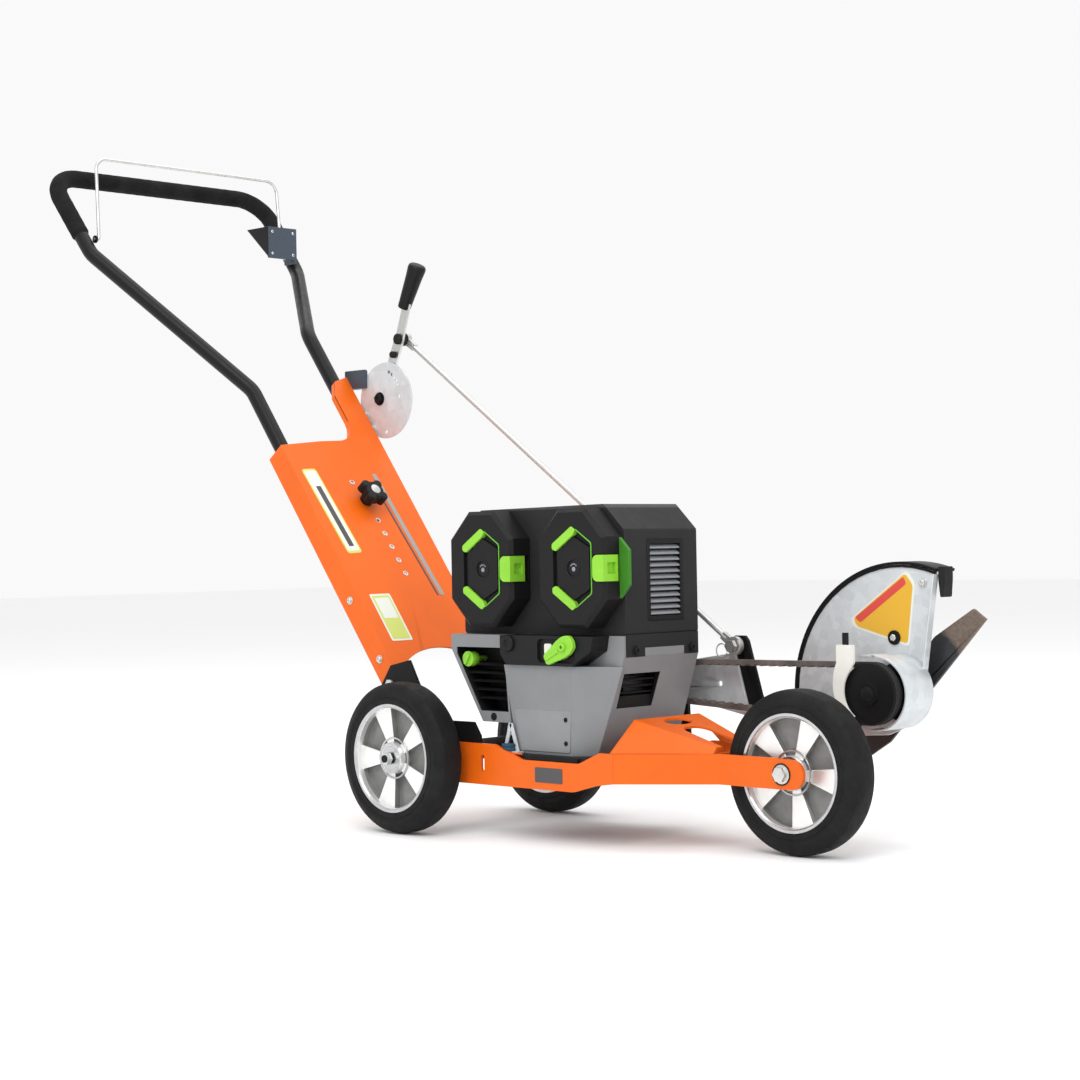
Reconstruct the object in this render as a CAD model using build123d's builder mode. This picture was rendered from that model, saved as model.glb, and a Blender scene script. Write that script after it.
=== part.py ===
from build123d import *
import math
import os

# Battery lawn edger: three-wheeled chassis, battery power unit, swinging cutter head, loop handle.
# Millimetres, +Z up, +X forwards, +Y to the machine's left. Z = 0 is the ground.
# Local side views use x from the rear axle and z above the ground.

# ---- placing of the machine in its own frame ----
AXLE_X = 19.75
MID_Y = 0.0

# ---- wheels ----
WHEEL_R = 100.0
WHEEL_W = 45.0
RIM_R = 72.0
WHEELBASE = 552.0
TRACK = 288.0
HUB_R = 21.0
SPOKES = 5
WEB_HALF = 3.0
SPOKE_HALF = 13.0
AXLE_R = 7.5
AXLE_END_R = 5.0
FRONT_AXLE_R = 6.0
BEARING_R = 16.0
BEARING_W = 9.0
FIT = 0.05

# ---- chassis ----
FRAME_HALF = 110.0
BAR_T = 5.0
BAR_LOW = 82.0
BAR_TOP = 119.0
FORK_HALF = 36.0
TAPER_REAR = 348.0
TAPER_FRONT = 456.0
DIP_Z = 104.0
DECK_T = 6.0

# ---- console: folded channel that slopes up and back ----
CONSOLE_HALF = 98.0
CONSOLE_FOOT = (-59.0, 206.0)
CONSOLE_NORMAL = (0.802, 0.597)
CONSOLE_LEN = 402.0
HORN_LEN = 540.0
FOOT_LUG = 20.0
SHEET = 2.5
FLANGE = 34.0
HOLE_PITCH = 24.0
HOLE_R = 3.5
CLAMP_S = 300.0
SUPPORT_Y = 100.8
CONSOLE_BOLT = (-64.0, 192.0)
CLAMP_Y = 8.0
QUADRANT_BOLTS = (444.0, 470.0)

# ---- handle ----
TUBE_R = 11.0
TUBE_WALL = 2.0
LEG_HALF = 83.0
LEG_DEPTH = 16.0
UPPER_HALF = 199.0
TOP_HALF = 206.0
GRIP_R = 13.5
WIRE_R = 2.5
BAIL_RIGHT = 172.0
BAIL_LEFT = 176.0
BAIL_FOOT_RIGHT = 184.0
BAIL_FOOT_LEFT = 168.0
BOX_NEAR = 130.0
BOX_FAR = 188.0
BAIL_PIVOT = (-618.0, 851.0)
BAIL_TOP = (-640.0, 978.0)

# ---- depth lever and linkage ----
LEVER_PIVOT = (-310.0, 602.0)
LEVER_JOINT = (-270.0, 689.0)
CRANK_PIN = (355.0, 242.0)
ROD_R = 4.0
ROD_Y = 121.0

# ---- drive ----
DRIVE = (240.0, 196.0)
ARBOR = (582.0, 188.0)
BELT_Y = 108.0
BELT_W = 12.0
BELT_T = 8.0
DRIVE_R = 20.0
ARBOR_R = 31.0
GROOVE_GAP = 0.3

# ---- cutter head ----
GUARD_Y = 170.0
GUARD_R = 164.0
GUARD_CENTRE = (581.0, 181.0)
BAND_W = 40.0
FLAP_W = 18.5
BLADE_Y = 190.0
SHAFT_R = 8.0
HOUSING_R = 26.0

# ---- power unit ----
UNIT_REAR = 40.0
UNIT_FRONT = 330.0
UNIT_NEAR = -62.0
UNIT_FAR = 77.0
UNIT_SPLIT = 262.0
UNIT_TOP = 425.0
UNIT_FOOT = 110.2
BATTERY_X = (106.0, 270.0)
BATTERY_W = 94.0
CAP_W = 117.0
CAP_H = 151.0
BATTERY_LOW = 274.0
BATTERY_H = 147.0
BATTERY_FACE = -97.0
EMBLEM_X = 3.0
BATTERY_BACK = 58.0

WHEELS = (
    ("rear_right", 0.0, -TRACK / 2, AXLE_R, 38),
    ("rear_left", 0.0, TRACK / 2, AXLE_R, 38),
    ("front", WHEELBASE, 0.0, FRONT_AXLE_R, 65),
)

os.makedirs("parts", exist_ok=True)


def side(y):
    """Side-view plane at y: local x forwards from the rear axle, local y up; it faces -Y."""
    return Plane(origin=(AXLE_X, MID_Y + y, 0), x_dir=(1, 0, 0), z_dir=(0, -1, 0))


def level(z):
    """Plan plane at height z, measured from the middle of the rear axle."""
    return Plane(origin=(AXLE_X, MID_Y, z))


def cross(x):
    """Cross-section plane at x: local x is the machine's y, local y is up; it faces +X."""
    return Plane(origin=(AXLE_X + x, MID_Y, 0), x_dir=(0, 1, 0), z_dir=(1, 0, 0))


def console_plane(depth=0.0):
    """Plane of the console's front skin: local x is the machine's y, local y runs up the slope."""
    nx, nz = CONSOLE_NORMAL
    x = AXLE_X + CONSOLE_FOOT[0] - nx * depth
    z = CONSOLE_FOOT[1] - nz * depth
    return Plane(origin=(x, MID_Y, z), x_dir=(0, 1, 0), z_dir=(nx, 0, nz))


def console_point(y, s, depth=0.0):
    """Point on the console, s up the slope and depth behind its front skin."""
    return console_plane(depth).from_local_coords((y, s, 0))


def side_point(s, depth):
    """Side-view point s up the console's slope and depth behind its front skin."""
    nx, nz = CONSOLE_NORMAL
    return (CONSOLE_FOOT[0] - nz * s - nx * depth, CONSOLE_FOOT[1] + nx * s - nz * depth)


def spot(x, y, z):
    """Point given from the rear axle's middle, in the machine's frame."""
    return (AXLE_X + x, MID_Y + y, z)


def save(piece, label):
    """Label a finished piece and write its STEP file."""
    piece.part.label = label
    export_step(piece.part, f"parts/{label}.step")


# ---- wheels and axles ----

def tyre(label, x, y):
    half = WHEEL_W / 2
    with BuildPart() as part:
        with BuildSketch(Plane(origin=spot(x, y, WHEEL_R), x_dir=(0, 1, 0), z_dir=(-1, 0, 0))):
            with BuildLine():
                Polyline(
                    (-half + 3, RIM_R + 0.1),
                    (-half, RIM_R + 4),
                    (-half, WHEEL_R - 14),
                    (-half + 5, WHEEL_R - 4),
                )
                ThreePointArc((-half + 5, WHEEL_R - 4), (0, WHEEL_R), (half - 5, WHEEL_R - 4))
                Polyline(
                    (half - 5, WHEEL_R - 4),
                    (half, WHEEL_R - 14),
                    (half, RIM_R + 4),
                    (half - 3, RIM_R + 0.1),
                    (-half + 3, RIM_R + 0.1),
                )
            make_face()
        revolve(axis=Axis(spot(x, y, WHEEL_R), (0, 1, 0)))
    save(part, label)


def rim(label, x, y, first_spoke):
    """Cast aluminium rim: bead ring, web, five spokes that widen outwards and two bearing seats."""
    half = WHEEL_W / 2
    bead_in = RIM_R - 6
    centre = Location((x, WHEEL_R))
    with BuildPart() as part:
        with BuildSketch(side(y - half + 2)):
            with Locations(centre):
                Circle(RIM_R)
                Circle(bead_in, mode=Mode.SUBTRACT)
        extrude(amount=-(WHEEL_W - 4))
        with BuildSketch(side(y - half + 1)):
            with Locations(centre):
                Circle(HUB_R)
        extrude(amount=-(WHEEL_W - 2))
        with BuildSketch(side(y - WEB_HALF)):
            with Locations(centre):
                Circle(bead_in + 2)
        extrude(amount=-2 * WEB_HALF)
        with BuildSketch(side(y - SPOKE_HALF)):
            with Locations(centre):
                with PolarLocations(0, SPOKES, start_angle=first_spoke):
                    Polygon(
                        (HUB_R - 2, -6),
                        (bead_in + 2, -17),
                        (bead_in + 2, 17),
                        (HUB_R - 2, 6),
                        align=None,
                    )
        extrude(amount=-2 * SPOKE_HALF)
        for start, depth in ((y - half, -(BEARING_W + 2)), (y + half, BEARING_W + 2)):
            with BuildSketch(side(start)):
                with Locations(centre):
                    Circle(BEARING_R + FIT)
            extrude(amount=depth, mode=Mode.SUBTRACT)
        with BuildSketch(side(y - half)):
            with Locations(centre):
                Circle(AXLE_R + 3)
        extrude(amount=-WHEEL_W, mode=Mode.SUBTRACT)
    save(part, label)


def wheel_bearings():
    """Pairs of sealed ball bearings, one in each end of every hub, fixed on the axles."""
    half = WHEEL_W / 2
    with BuildPart() as part:
        for _, x, y, shaft_r, _ in WHEELS:
            for start in (y - half + 1.5, y + half - 1.5 - BEARING_W):
                with BuildSketch(side(start)):
                    with Locations((x, WHEEL_R)):
                        Circle(BEARING_R)
                        Circle(shaft_r, mode=Mode.SUBTRACT)
                extrude(amount=-BEARING_W)
    save(part, "wheel_bearings")


def rear_axle():
    """Axle rod with turned-down ends and a sleeve between the side plates."""
    reach = TRACK / 2 + WHEEL_W / 2 + 1.3
    inner = FRAME_HALF - BAR_T - 0.5
    with BuildPart() as part:
        with BuildSketch(side(-reach)):
            with Locations((0, WHEEL_R)):
                Circle(AXLE_R)
        extrude(amount=-2 * reach)
        with BuildSketch(side(-reach - 8.5)):
            with Locations((0, WHEEL_R)):
                Circle(AXLE_END_R)
        extrude(amount=-2 * (reach + 8.5))
        with BuildSketch(side(-inner)):
            with Locations((0, WHEEL_R)):
                Circle(14)
        extrude(amount=-2 * inner)
        for y in (-FRAME_HALF - 11, FRAME_HALF + 0.5):
            with BuildSketch(side(y)):
                with Locations((0, WHEEL_R)):
                    Circle(11)
            extrude(amount=-10.5)
    save(part, "rear_axle")


def front_axle():
    """Bolt through the fork with a hexagon head and two spacer sleeves."""
    reach = FORK_HALF + 5
    with BuildPart() as part:
        with BuildSketch(side(-reach)):
            with Locations((WHEELBASE, WHEEL_R)):
                Circle(FRONT_AXLE_R)
        extrude(amount=-(2 * reach + 8))
        with BuildSketch(side(-reach - 1.5)):
            with Locations((WHEELBASE, WHEEL_R)):
                RegularPolygon(9.5, 6)
        extrude(amount=-6)
        for y in (-FORK_HALF + BAR_T + 0.2, WHEEL_W / 2 - 1.2):
            with BuildSketch(side(y)):
                with Locations((WHEELBASE, WHEEL_R)):
                    Circle(9)
            extrude(amount=-(FORK_HALF - BAR_T - WHEEL_W / 2 + 1.0))
    save(part, "front_axle")


# ---- chassis ----

def frame_side(label, sign):
    """Bent steel side plate: rear web, dip under the power unit, taper and fork arm."""
    outer = sign * FRAME_HALF
    inner = sign * (FRAME_HALF - BAR_T)
    with BuildPart() as part:
        with BuildSketch(side(outer)):
            with BuildLine():
                Polyline(
                    (-26, 76), (-26, 112), (-16, 121), (140, 121), (190, DIP_Z), (290, DIP_Z),
                    (325, BAR_TOP), (TAPER_REAR, BAR_TOP), (TAPER_REAR, BAR_LOW),
                    (318, 78), (280, 68), (-14, 68), (-26, 76),
                )
            make_face()
            fillet(part_corners(290, 190, 280), radius=14)
            with Locations((0, WHEEL_R)):
                Circle(AXLE_R + 0.1, mode=Mode.SUBTRACT)
            with Locations((118, 96)):
                SlotOverall(22, 7, rotation=90, mode=Mode.SUBTRACT)
        extrude(amount=sign * BAR_T)
        with BuildSketch(level(BAR_LOW)):
            Polygon(
                (TAPER_REAR - 1, outer),
                (TAPER_FRONT, sign * FORK_HALF),
                (WHEELBASE - 4, sign * FORK_HALF),
                (WHEELBASE - 4, sign * (FORK_HALF - BAR_T)),
                (TAPER_FRONT - 2, sign * (FORK_HALF - BAR_T)),
                (TAPER_REAR - 1, inner),
                align=None,
            )
        extrude(amount=BAR_TOP - BAR_LOW)
        with BuildSketch(side(sign * FORK_HALF)):
            with Locations((WHEELBASE, WHEEL_R)):
                SlotOverall(64, BAR_TOP - BAR_LOW - 1)
        extrude(amount=sign * BAR_T)
        with BuildSketch(side(sign * (FORK_HALF + 2))):
            with Locations((WHEELBASE, WHEEL_R)):
                Circle(FRONT_AXLE_R + 0.1)
        extrude(amount=sign * (BAR_T + 4), mode=Mode.SUBTRACT)
    save(part, label)


def part_corners(*xs):
    """Corners of the pending side profile at the given local x values."""
    sketch = BuildSketch._get_context(None)
    return [v for v in sketch.vertices() if any(abs(v.X - x) < 0.5 for x in xs)]


def engine_deck():
    """Mounting plate: rests in the dips of the side plates and carries the power unit."""
    with BuildPart() as part:
        with BuildSketch(level(DIP_Z)):
            with Locations((240, 0)):
                Rectangle(92, 2 * FRAME_HALF - 4)
            with Locations((217, 0)):
                Rectangle(214, 2 * (FRAME_HALF - BAR_T) - 1)
            with Locations((217, 0)):
                with GridLocations(176, 150, 2, 2):
                    Circle(4.25, mode=Mode.SUBTRACT)
            with Locations((240, 0)):
                RectangleRounded(60, 90, 12, mode=Mode.SUBTRACT)
        extrude(amount=DECK_T)
    save(part, "engine_deck")


def gusset_shell(shrink):
    """Tapered wedge between the side plates, smaller by shrink all round."""
    low = BAR_TOP + 0.3
    with BuildPart() as part:
        with BuildSketch(cross(342)):
            Polygon(
                (-109 + shrink, low - shrink), (109 - shrink, low - shrink),
                (62 - shrink, 158 - shrink), (-62 + shrink, 158 - shrink),
                align=None,
            )
        with BuildSketch(cross(450)):
            Polygon(
                (-40 + shrink, low - shrink), (40 - shrink, low - shrink),
                (33 - shrink, 127 - shrink), (-33 + shrink, 127 - shrink),
                align=None,
            )
        loft()
    return part.part


def front_gusset():
    """Folded saddle in front of the power unit, with an oval hole and a mouth for the front wheel."""
    with BuildPart() as part:
        add(gusset_shell(0))
        add(gusset_shell(3), mode=Mode.SUBTRACT)
        with BuildSketch(level(BAR_TOP)):
            with Locations((425, 0)):
                RectangleRounded(90, 44, 16)
        extrude(amount=60, mode=Mode.SUBTRACT)
        with BuildSketch(level(BAR_TOP)):
            with Locations((360, 0)):
                Ellipse(11, 24)
        extrude(amount=60, mode=Mode.SUBTRACT)
    save(part, "front_gusset")


def console_supports():
    """Two black plates that carry the console's foot from the rear of the side plates."""
    with BuildPart() as part:
        for y in (-SUPPORT_Y - 4, SUPPORT_Y):
            with BuildSketch(side(y)):
                with BuildLine():
                    Polyline(
                        (109, 78), (109, 130), (97, 148), (42, 148), (-8, 194), (-26, 226),
                        (-64, 218), (-84, 190), (-60, 170), (-14, 130), (-14, 78), (109, 78),
                    )
                make_face()
                with Locations((0, WHEEL_R)):
                    Circle(14.3, mode=Mode.SUBTRACT)
                with Locations(CONSOLE_BOLT):
                    Circle(4.2, mode=Mode.SUBTRACT)
                with Locations((60, 134), (96, 112)):
                    Circle(3.2, mode=Mode.SUBTRACT)
            extrude(amount=-4)
    save(part, "console_supports")


# ---- console ----

def console():
    """Folded sheet channel: front skin with two horns of unequal length, and two side flanges."""
    half = CONSOLE_HALF
    with BuildPart() as part:
        with BuildSketch(console_plane()):
            with BuildLine():
                Polyline((-half, 0), (-half, CONSOLE_LEN), (-20, CONSOLE_LEN + 9))
                Line((-20, CONSOLE_LEN + 9), (16, CONSOLE_LEN + 11))
                ThreePointArc(
                    (16, CONSOLE_LEN + 11), (44, CONSOLE_LEN + 23), (56, CONSOLE_LEN + 51)
                )
                Polyline(
                    (56, CONSOLE_LEN + 51), (56, HORN_LEN - 38), (70, HORN_LEN - 10),
                    (half, HORN_LEN), (half, 0), (half - 8, 0),
                )
                ThreePointArc((half - 8, 0), (0, 40), (-half + 8, 0))
                Line((-half + 8, 0), (-half, 0))
            make_face()
            for step in range(5):
                with Locations((CLAMP_Y + 4, CLAMP_S - 36 - step * HOLE_PITCH)):
                    Circle(HOLE_R, mode=Mode.SUBTRACT)
            with Locations((CLAMP_Y - 8, CLAMP_S + 34)):
                Circle(HOLE_R, mode=Mode.SUBTRACT)
            with Locations((CLAMP_Y, CLAMP_S)):
                Circle(5.1, mode=Mode.SUBTRACT)
        extrude(amount=-SHEET)
        for y, length in ((-half + SHEET / 2, CONSOLE_LEN), (half - SHEET / 2, HORN_LEN)):
            with BuildSketch(console_plane()):
                with Locations((y, (length - FOOT_LUG) / 2)):
                    Rectangle(SHEET, length + FOOT_LUG)
            extrude(amount=-FLANGE)
        fillet(part.edges().group_by(Axis.Y)[0].sort_by(Axis.X)[-1], radius=2.4)
        fillet(part.edges().group_by(Axis.Y)[-1].sort_by(Axis.X)[-1], radius=2.4)
        with BuildSketch(side(-half - 2)):
            with Locations(CONSOLE_BOLT):
                Circle(4.2)
        extrude(amount=-(2 * half + 4), mode=Mode.SUBTRACT)
        with BuildSketch(side(half - 6)):
            for s in QUADRANT_BOLTS:
                with Locations(side_point(s, 6)):
                    Circle(3.2)
        extrude(amount=-8, mode=Mode.SUBTRACT)
        with BuildSketch(console_plane(SHEET)):
            with Locations((CLAMP_Y, CLAMP_S)):
                RegularPolygon(9.5, 6)
                Circle(4.25, mode=Mode.SUBTRACT)
        extrude(amount=-7)
    save(part, "console")


def clamp_knob():
    """Star knob with four lobes on a clamp screw."""
    with BuildPart() as part:
        with BuildSketch(console_plane(-12)):
            with Locations((CLAMP_Y, CLAMP_S)):
                Circle(15)
                with PolarLocations(15, 4, start_angle=45):
                    Circle(7)
        extrude(amount=16)
        with BuildSketch(console_plane(-0.5)):
            with Locations((CLAMP_Y, CLAMP_S)):
                Circle(10)
        extrude(amount=12)
        with BuildSketch(console_plane(-3)):
            with Locations((CLAMP_Y, CLAMP_S)):
                Circle(4)
        extrude(amount=-18.6)
        chamfer(part.faces().sort_by(Axis((0, 0, 0), (0.802, 0, 0.597)))[-1].edges(), length=2)
    save(part, "clamp_knob")


# ---- handle ----

def handle_points():
    """Corner points of the handle's centre line, from the right leg's foot to the left leg's foot."""
    right_foot = console_point(-LEG_HALF, 240, LEG_DEPTH)
    right_bend = console_point(-LEG_HALF, 518, LEG_DEPTH)
    left_bend = console_point(LEG_HALF, 637, LEG_DEPTH)
    left_foot = console_point(LEG_HALF, 240, LEG_DEPTH)
    return [
        right_foot,
        right_bend,
        spot(-617, -UPPER_HALF, 828),
        spot(-718, -TOP_HALF, 958),
        spot(-718, TOP_HALF, 958),
        spot(-617, UPPER_HALF, 828),
        left_bend,
        left_foot,
    ]


HANDLE_BENDS = [45, 45, 48, 48, 45, 45]


def handle_tube():
    """Bent steel tube loop; a plate welded between its legs takes the clamp screw."""
    with BuildPart() as part:
        with BuildLine() as route:
            FilletPolyline(*handle_points(), radius=HANDLE_BENDS)
        with BuildSketch(Plane(origin=route.line @ 0, z_dir=route.line % 0)):
            Circle(TUBE_R)
            Circle(TUBE_R - TUBE_WALL, mode=Mode.SUBTRACT)
        sweep()
        with BuildSketch(console_plane(LEG_DEPTH)):
            with Locations((0, CLAMP_S)):
                Rectangle(2 * (LEG_HALF - TUBE_R) + 1, 60)
        extrude(amount=-4)
    save(part, "handle_tube")


def handle_grip():
    """Foam sleeve over the crossbar and both corner bends."""
    points = handle_points()[2:6]
    start = Vector(*points[0]) + (Vector(*points[1]) - Vector(*points[0])) * 0.22
    end = Vector(*points[3]) + (Vector(*points[2]) - Vector(*points[3])) * 0.5
    with BuildPart() as part:
        with BuildLine() as route:
            FilletPolyline(start, points[1], points[2], end, radius=HANDLE_BENDS[2:4])
        with BuildSketch(Plane(origin=route.line @ 0, z_dir=route.line % 0)):
            Circle(GRIP_R)
            Circle(TUBE_R + 0.05, mode=Mode.SUBTRACT)
        sweep()
    save(part, "handle_grip")


def operator_bail():
    """Wire bail that the operator holds against the grip; its feet turn outwards as pivots."""
    px, pz = BAIL_PIVOT
    top_x, top_z = BAIL_TOP
    with BuildPart() as part:
        with BuildLine() as route:
            FilletPolyline(
                spot(px, -BAIL_FOOT_RIGHT - 9.5, pz), spot(px, -BAIL_FOOT_RIGHT, pz),
                spot(top_x, -BAIL_RIGHT, top_z), spot(top_x, BAIL_LEFT, top_z),
                spot(px, BAIL_FOOT_LEFT, pz), spot(px, BAIL_FOOT_LEFT + 19.5, pz),
                radius=[4, 20, 20, 4],
            )
        with BuildSketch(Plane(origin=route.line @ 0, z_dir=route.line % 0)):
            Circle(WIRE_R)
        sweep()
    save(part, "operator_bail")


def bail_tab():
    """Tab on the right leg; it holds the bail's right pivot."""
    px, pz = BAIL_PIVOT
    with BuildPart() as part:
        with BuildSketch(side(-192)):
            with Locations((px, pz)):
                Circle(5.8)
                Circle(WIRE_R + FIT, mode=Mode.SUBTRACT)
        extrude(amount=-3)
    save(part, "bail_tab")


def switch_box():
    """Folded sheet switch bracket: front plate, triangular near ear and the bail's pivot plate."""
    px, pz = BAIL_PIVOT
    front = px + 14
    low, top = pz - 3.5, pz + 47
    with BuildPart() as part:
        with BuildSketch(cross(front - 3)):
            with Locations(((BOX_NEAR + BOX_FAR) / 2, (low + top) / 2)):
                Rectangle(BOX_FAR - BOX_NEAR, top - low)
        extrude(amount=3)
        with BuildSketch(side(BOX_NEAR)):
            Polygon((front, low), (front, top), (front - 56, top), align=None)
        extrude(amount=-2)
        with BuildSketch(side(BOX_FAR - 4)):
            with Locations((front - 14, (low + top) / 2 - 3)):
                Rectangle(28, top - low + 6)
            with Locations((px, pz)):
                Circle(WIRE_R + FIT, mode=Mode.SUBTRACT)
        extrude(amount=-4)
    save(part, "switch_box")


# ---- depth lever ----

def lever_quadrant():
    """Round galvanised quadrant plate with a row of notches, bolted to the console's left flange."""
    with BuildPart() as part:
        with BuildSketch(side(CONSOLE_HALF + 4)):
            with Locations((-297, 599)):
                Circle(57)
            for step in range(5):
                angle = math.radians(62 - step * 9)
                with Locations((LEVER_PIVOT[0] + 44 * math.cos(angle),
                                LEVER_PIVOT[1] + 44 * math.sin(angle))):
                    Circle(2.6, mode=Mode.SUBTRACT)
            with Locations((-268, 604), (-297, 552)):
                Circle(3, mode=Mode.SUBTRACT)
            for s in QUADRANT_BOLTS:
                with Locations(side_point(s, 6)):
                    Circle(3.2, mode=Mode.SUBTRACT)
            with Locations(LEVER_PIVOT):
                Circle(5.1, mode=Mode.SUBTRACT)
        extrude(amount=-3)
    save(part, "lever_quadrant")


def lever_block():
    """Stop block at the top of the long horn; it spaces the quadrant off the flange."""
    with BuildPart() as part:
        with BuildSketch(side(CONSOLE_HALF + 0.1)):
            with Locations((-361, 634)):
                RectangleRounded(46, 28, 2)
        extrude(amount=-3.8)
        with BuildSketch(side(CONSOLE_HALF + 0.1)):
            with Locations((-368, 634)):
                RectangleRounded(34, 28, 2)
        extrude(amount=-16)
    save(part, "lever_block")


def depth_lever():
    """Flat lever bar with a pivot eye, bent up to the grip, with a tongue inside the grip."""
    jx, jz = LEVER_JOINT
    px, pz = LEVER_PIVOT
    with BuildPart() as part:
        with BuildSketch(side(CONSOLE_HALF + 8)):
            with Locations(LEVER_PIVOT):
                Circle(13)
            Polygon((px - 9, pz), (px + 9, pz), (jx + 9, jz - 2), (jx - 9, jz + 3), align=None)
            Polygon((jx - 8, jz), (jx + 8, jz - 3), (-243, 745), (-256, 750), align=None)
            with Locations(LEVER_JOINT):
                Circle(9)
            with Locations(LEVER_PIVOT):
                Circle(5 + FIT, mode=Mode.SUBTRACT)
        extrude(amount=-4)
    save(part, "depth_lever")


def lever_grip():
    """Tapered moulded grip, wider at its top."""
    low = Vector(*spot(-259, CONSOLE_HALF + 10, 734))
    high = Vector(*spot(-226, CONSOLE_HALF + 10, 796))
    axis = (high - low).normalized()
    with BuildPart() as part:
        with BuildSketch(Plane(origin=low, x_dir=(0, 1, 0), z_dir=axis)):
            Circle(9.5)
        with BuildSketch(Plane(origin=high, x_dir=(0, 1, 0), z_dir=axis)):
            Circle(14)
        loft()
        fillet(part.faces().sort_by(Axis.Z)[-1].edges(), radius=5)
        with BuildSketch(side(CONSOLE_HALF + 7.8)):
            Polygon((-270.1, 712), (-255.3, 706), (-242.7, 745.4), (-256.2, 750.6), align=None)
        extrude(amount=-4.4, mode=Mode.SUBTRACT)
    save(part, "lever_grip")


def lever_ball():
    """Ball stud on the lever; the rod's upper eye turns on it."""
    with BuildPart() as part:
        with BuildSketch(side(CONSOLE_HALF + 12.1)):
            with Locations(LEVER_JOINT):
                Circle(8)
        extrude(amount=-6)
        with BuildSketch(side(CONSOLE_HALF + 12.1)):
            with Locations(LEVER_JOINT):
                Circle(4)
        extrude(amount=-18)
    save(part, "lever_ball")


def link_rod():
    """Long rod from the lever to the crank, with a flat eye at each end."""
    jx, jz = LEVER_JOINT
    kx, kz = CRANK_PIN
    reach = math.hypot(kx - jx, kz - jz)
    ux = (kx - jx) / reach
    uz = (kz - jz) / reach
    with BuildPart() as part:
        with BuildLine() as route:
            Line(spot(jx + ux * 14, ROD_Y, jz + uz * 14), spot(kx - ux * 16, ROD_Y, kz - uz * 16))
        with BuildSketch(Plane(origin=route.line @ 0, z_dir=route.line % 0)):
            Circle(ROD_R)
        sweep()
        with BuildSketch(side(ROD_Y - 3.5)):
            for x, z, eye_r in ((jx, jz, 10), (kx, kz, 12)):
                with Locations((x, z)):
                    Circle(eye_r)
            for x, z, sign in ((jx, jz, 1), (kx, kz, -1)):
                tip = (x + sign * ux * 24, z + sign * uz * 24)
                Polygon(
                    (x - uz * 6, z + ux * 6), (x + uz * 6, z - ux * 6),
                    (tip[0] + uz * 5, tip[1] - ux * 5), (tip[0] - uz * 5, tip[1] + ux * 5),
                    align=None,
                )
            for x, z, hole_r in ((jx, jz, 4 + FIT), (kx, kz, 6.5)):
                with Locations((x, z)):
                    Circle(hole_r, mode=Mode.SUBTRACT)
        extrude(amount=-7)
    save(part, "link_rod")


# ---- swing arm and cutter head ----

def swing_bracket():
    """Bracket on the left side plate with the pin that the cutter head swings on."""
    with BuildPart() as part:
        with BuildSketch(side(FRAME_HALF + 0.1)):
            with Locations((DRIVE[0], 86)):
                Rectangle(46, 28)
        extrude(amount=-30)
        with BuildSketch(side(FRAME_HALF + 26)):
            with BuildLine():
                Polyline(
                    (DRIVE[0] - 23, 72), (DRIVE[0] + 23, 72), (DRIVE[0] + 18, DRIVE[1]),
                    (DRIVE[0] + 12, DRIVE[1] + 16), (DRIVE[0] - 12, DRIVE[1] + 16),
                    (DRIVE[0] - 18, DRIVE[1]), (DRIVE[0] - 23, 72),
                )
            make_face()
        extrude(amount=-5)
        with BuildSketch(side(BELT_Y + 12)):
            with Locations(DRIVE):
                Circle(10)
        extrude(amount=-18)
    save(part, "swing_bracket")


def swing_plate():
    """Galvanised plate that pivots on the bracket's pin and carries the crank and the beam."""
    dx, dz = DRIVE
    with BuildPart() as part:
        with BuildSketch(side(BELT_Y + 18.5)):
            with Locations(DRIVE):
                Circle(22)
            Polygon(
                (dx, dz + 21), (dx + 110, dz + 37), (dx + 134, dz - 46), (dx, dz - 21),
                align=None,
            )
            with Locations(DRIVE):
                Circle(10 + FIT, mode=Mode.SUBTRACT)
            with Locations((dx + 84, dz - 4)):
                Circle(3.4, mode=Mode.SUBTRACT)
        extrude(amount=-3.5)
        with BuildSketch(side(BELT_Y + 13)):
            with Locations(DRIVE):
                Circle(17)
                Circle(10 + FIT, mode=Mode.SUBTRACT)
        extrude(amount=-12)
    save(part, "swing_plate")


def swing_arm():
    """Black welded arm: crank up to the rod, beam forwards to the arbor housing."""
    kx, kz = CRANK_PIN
    ax, az = ARBOR
    with BuildPart() as part:
        with BuildSketch(side(BELT_Y + 22.1)):
            with BuildLine():
                Polyline(
                    (kx - 13, kz + 8), (kx - 8, kz + 13), (kx + 9, kz + 13), (kx + 14, kz + 7),
                    (402, 138), (370, 138), (kx - 13, kz + 8),
                )
            make_face()
            with Locations(CRANK_PIN):
                Circle(3 + 0.05, mode=Mode.SUBTRACT)
        extrude(amount=-5)
        with BuildSketch(side(BELT_Y + 26)):
            with BuildLine():
                Polyline(
                    (372, 138), (372, 166), (500, 166), (536, az + 14), (ax, az + 14),
                    (ax, az - 14), (550, az - 14), (524, 138), (372, 138),
                )
            make_face()
        extrude(amount=-24)
        with BuildSketch(side(BELT_Y + 20)):
            with Locations(ARBOR):
                Circle(HOUSING_R + 0.05)
        extrude(amount=-40, mode=Mode.SUBTRACT)
    save(part, "swing_arm")


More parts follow.
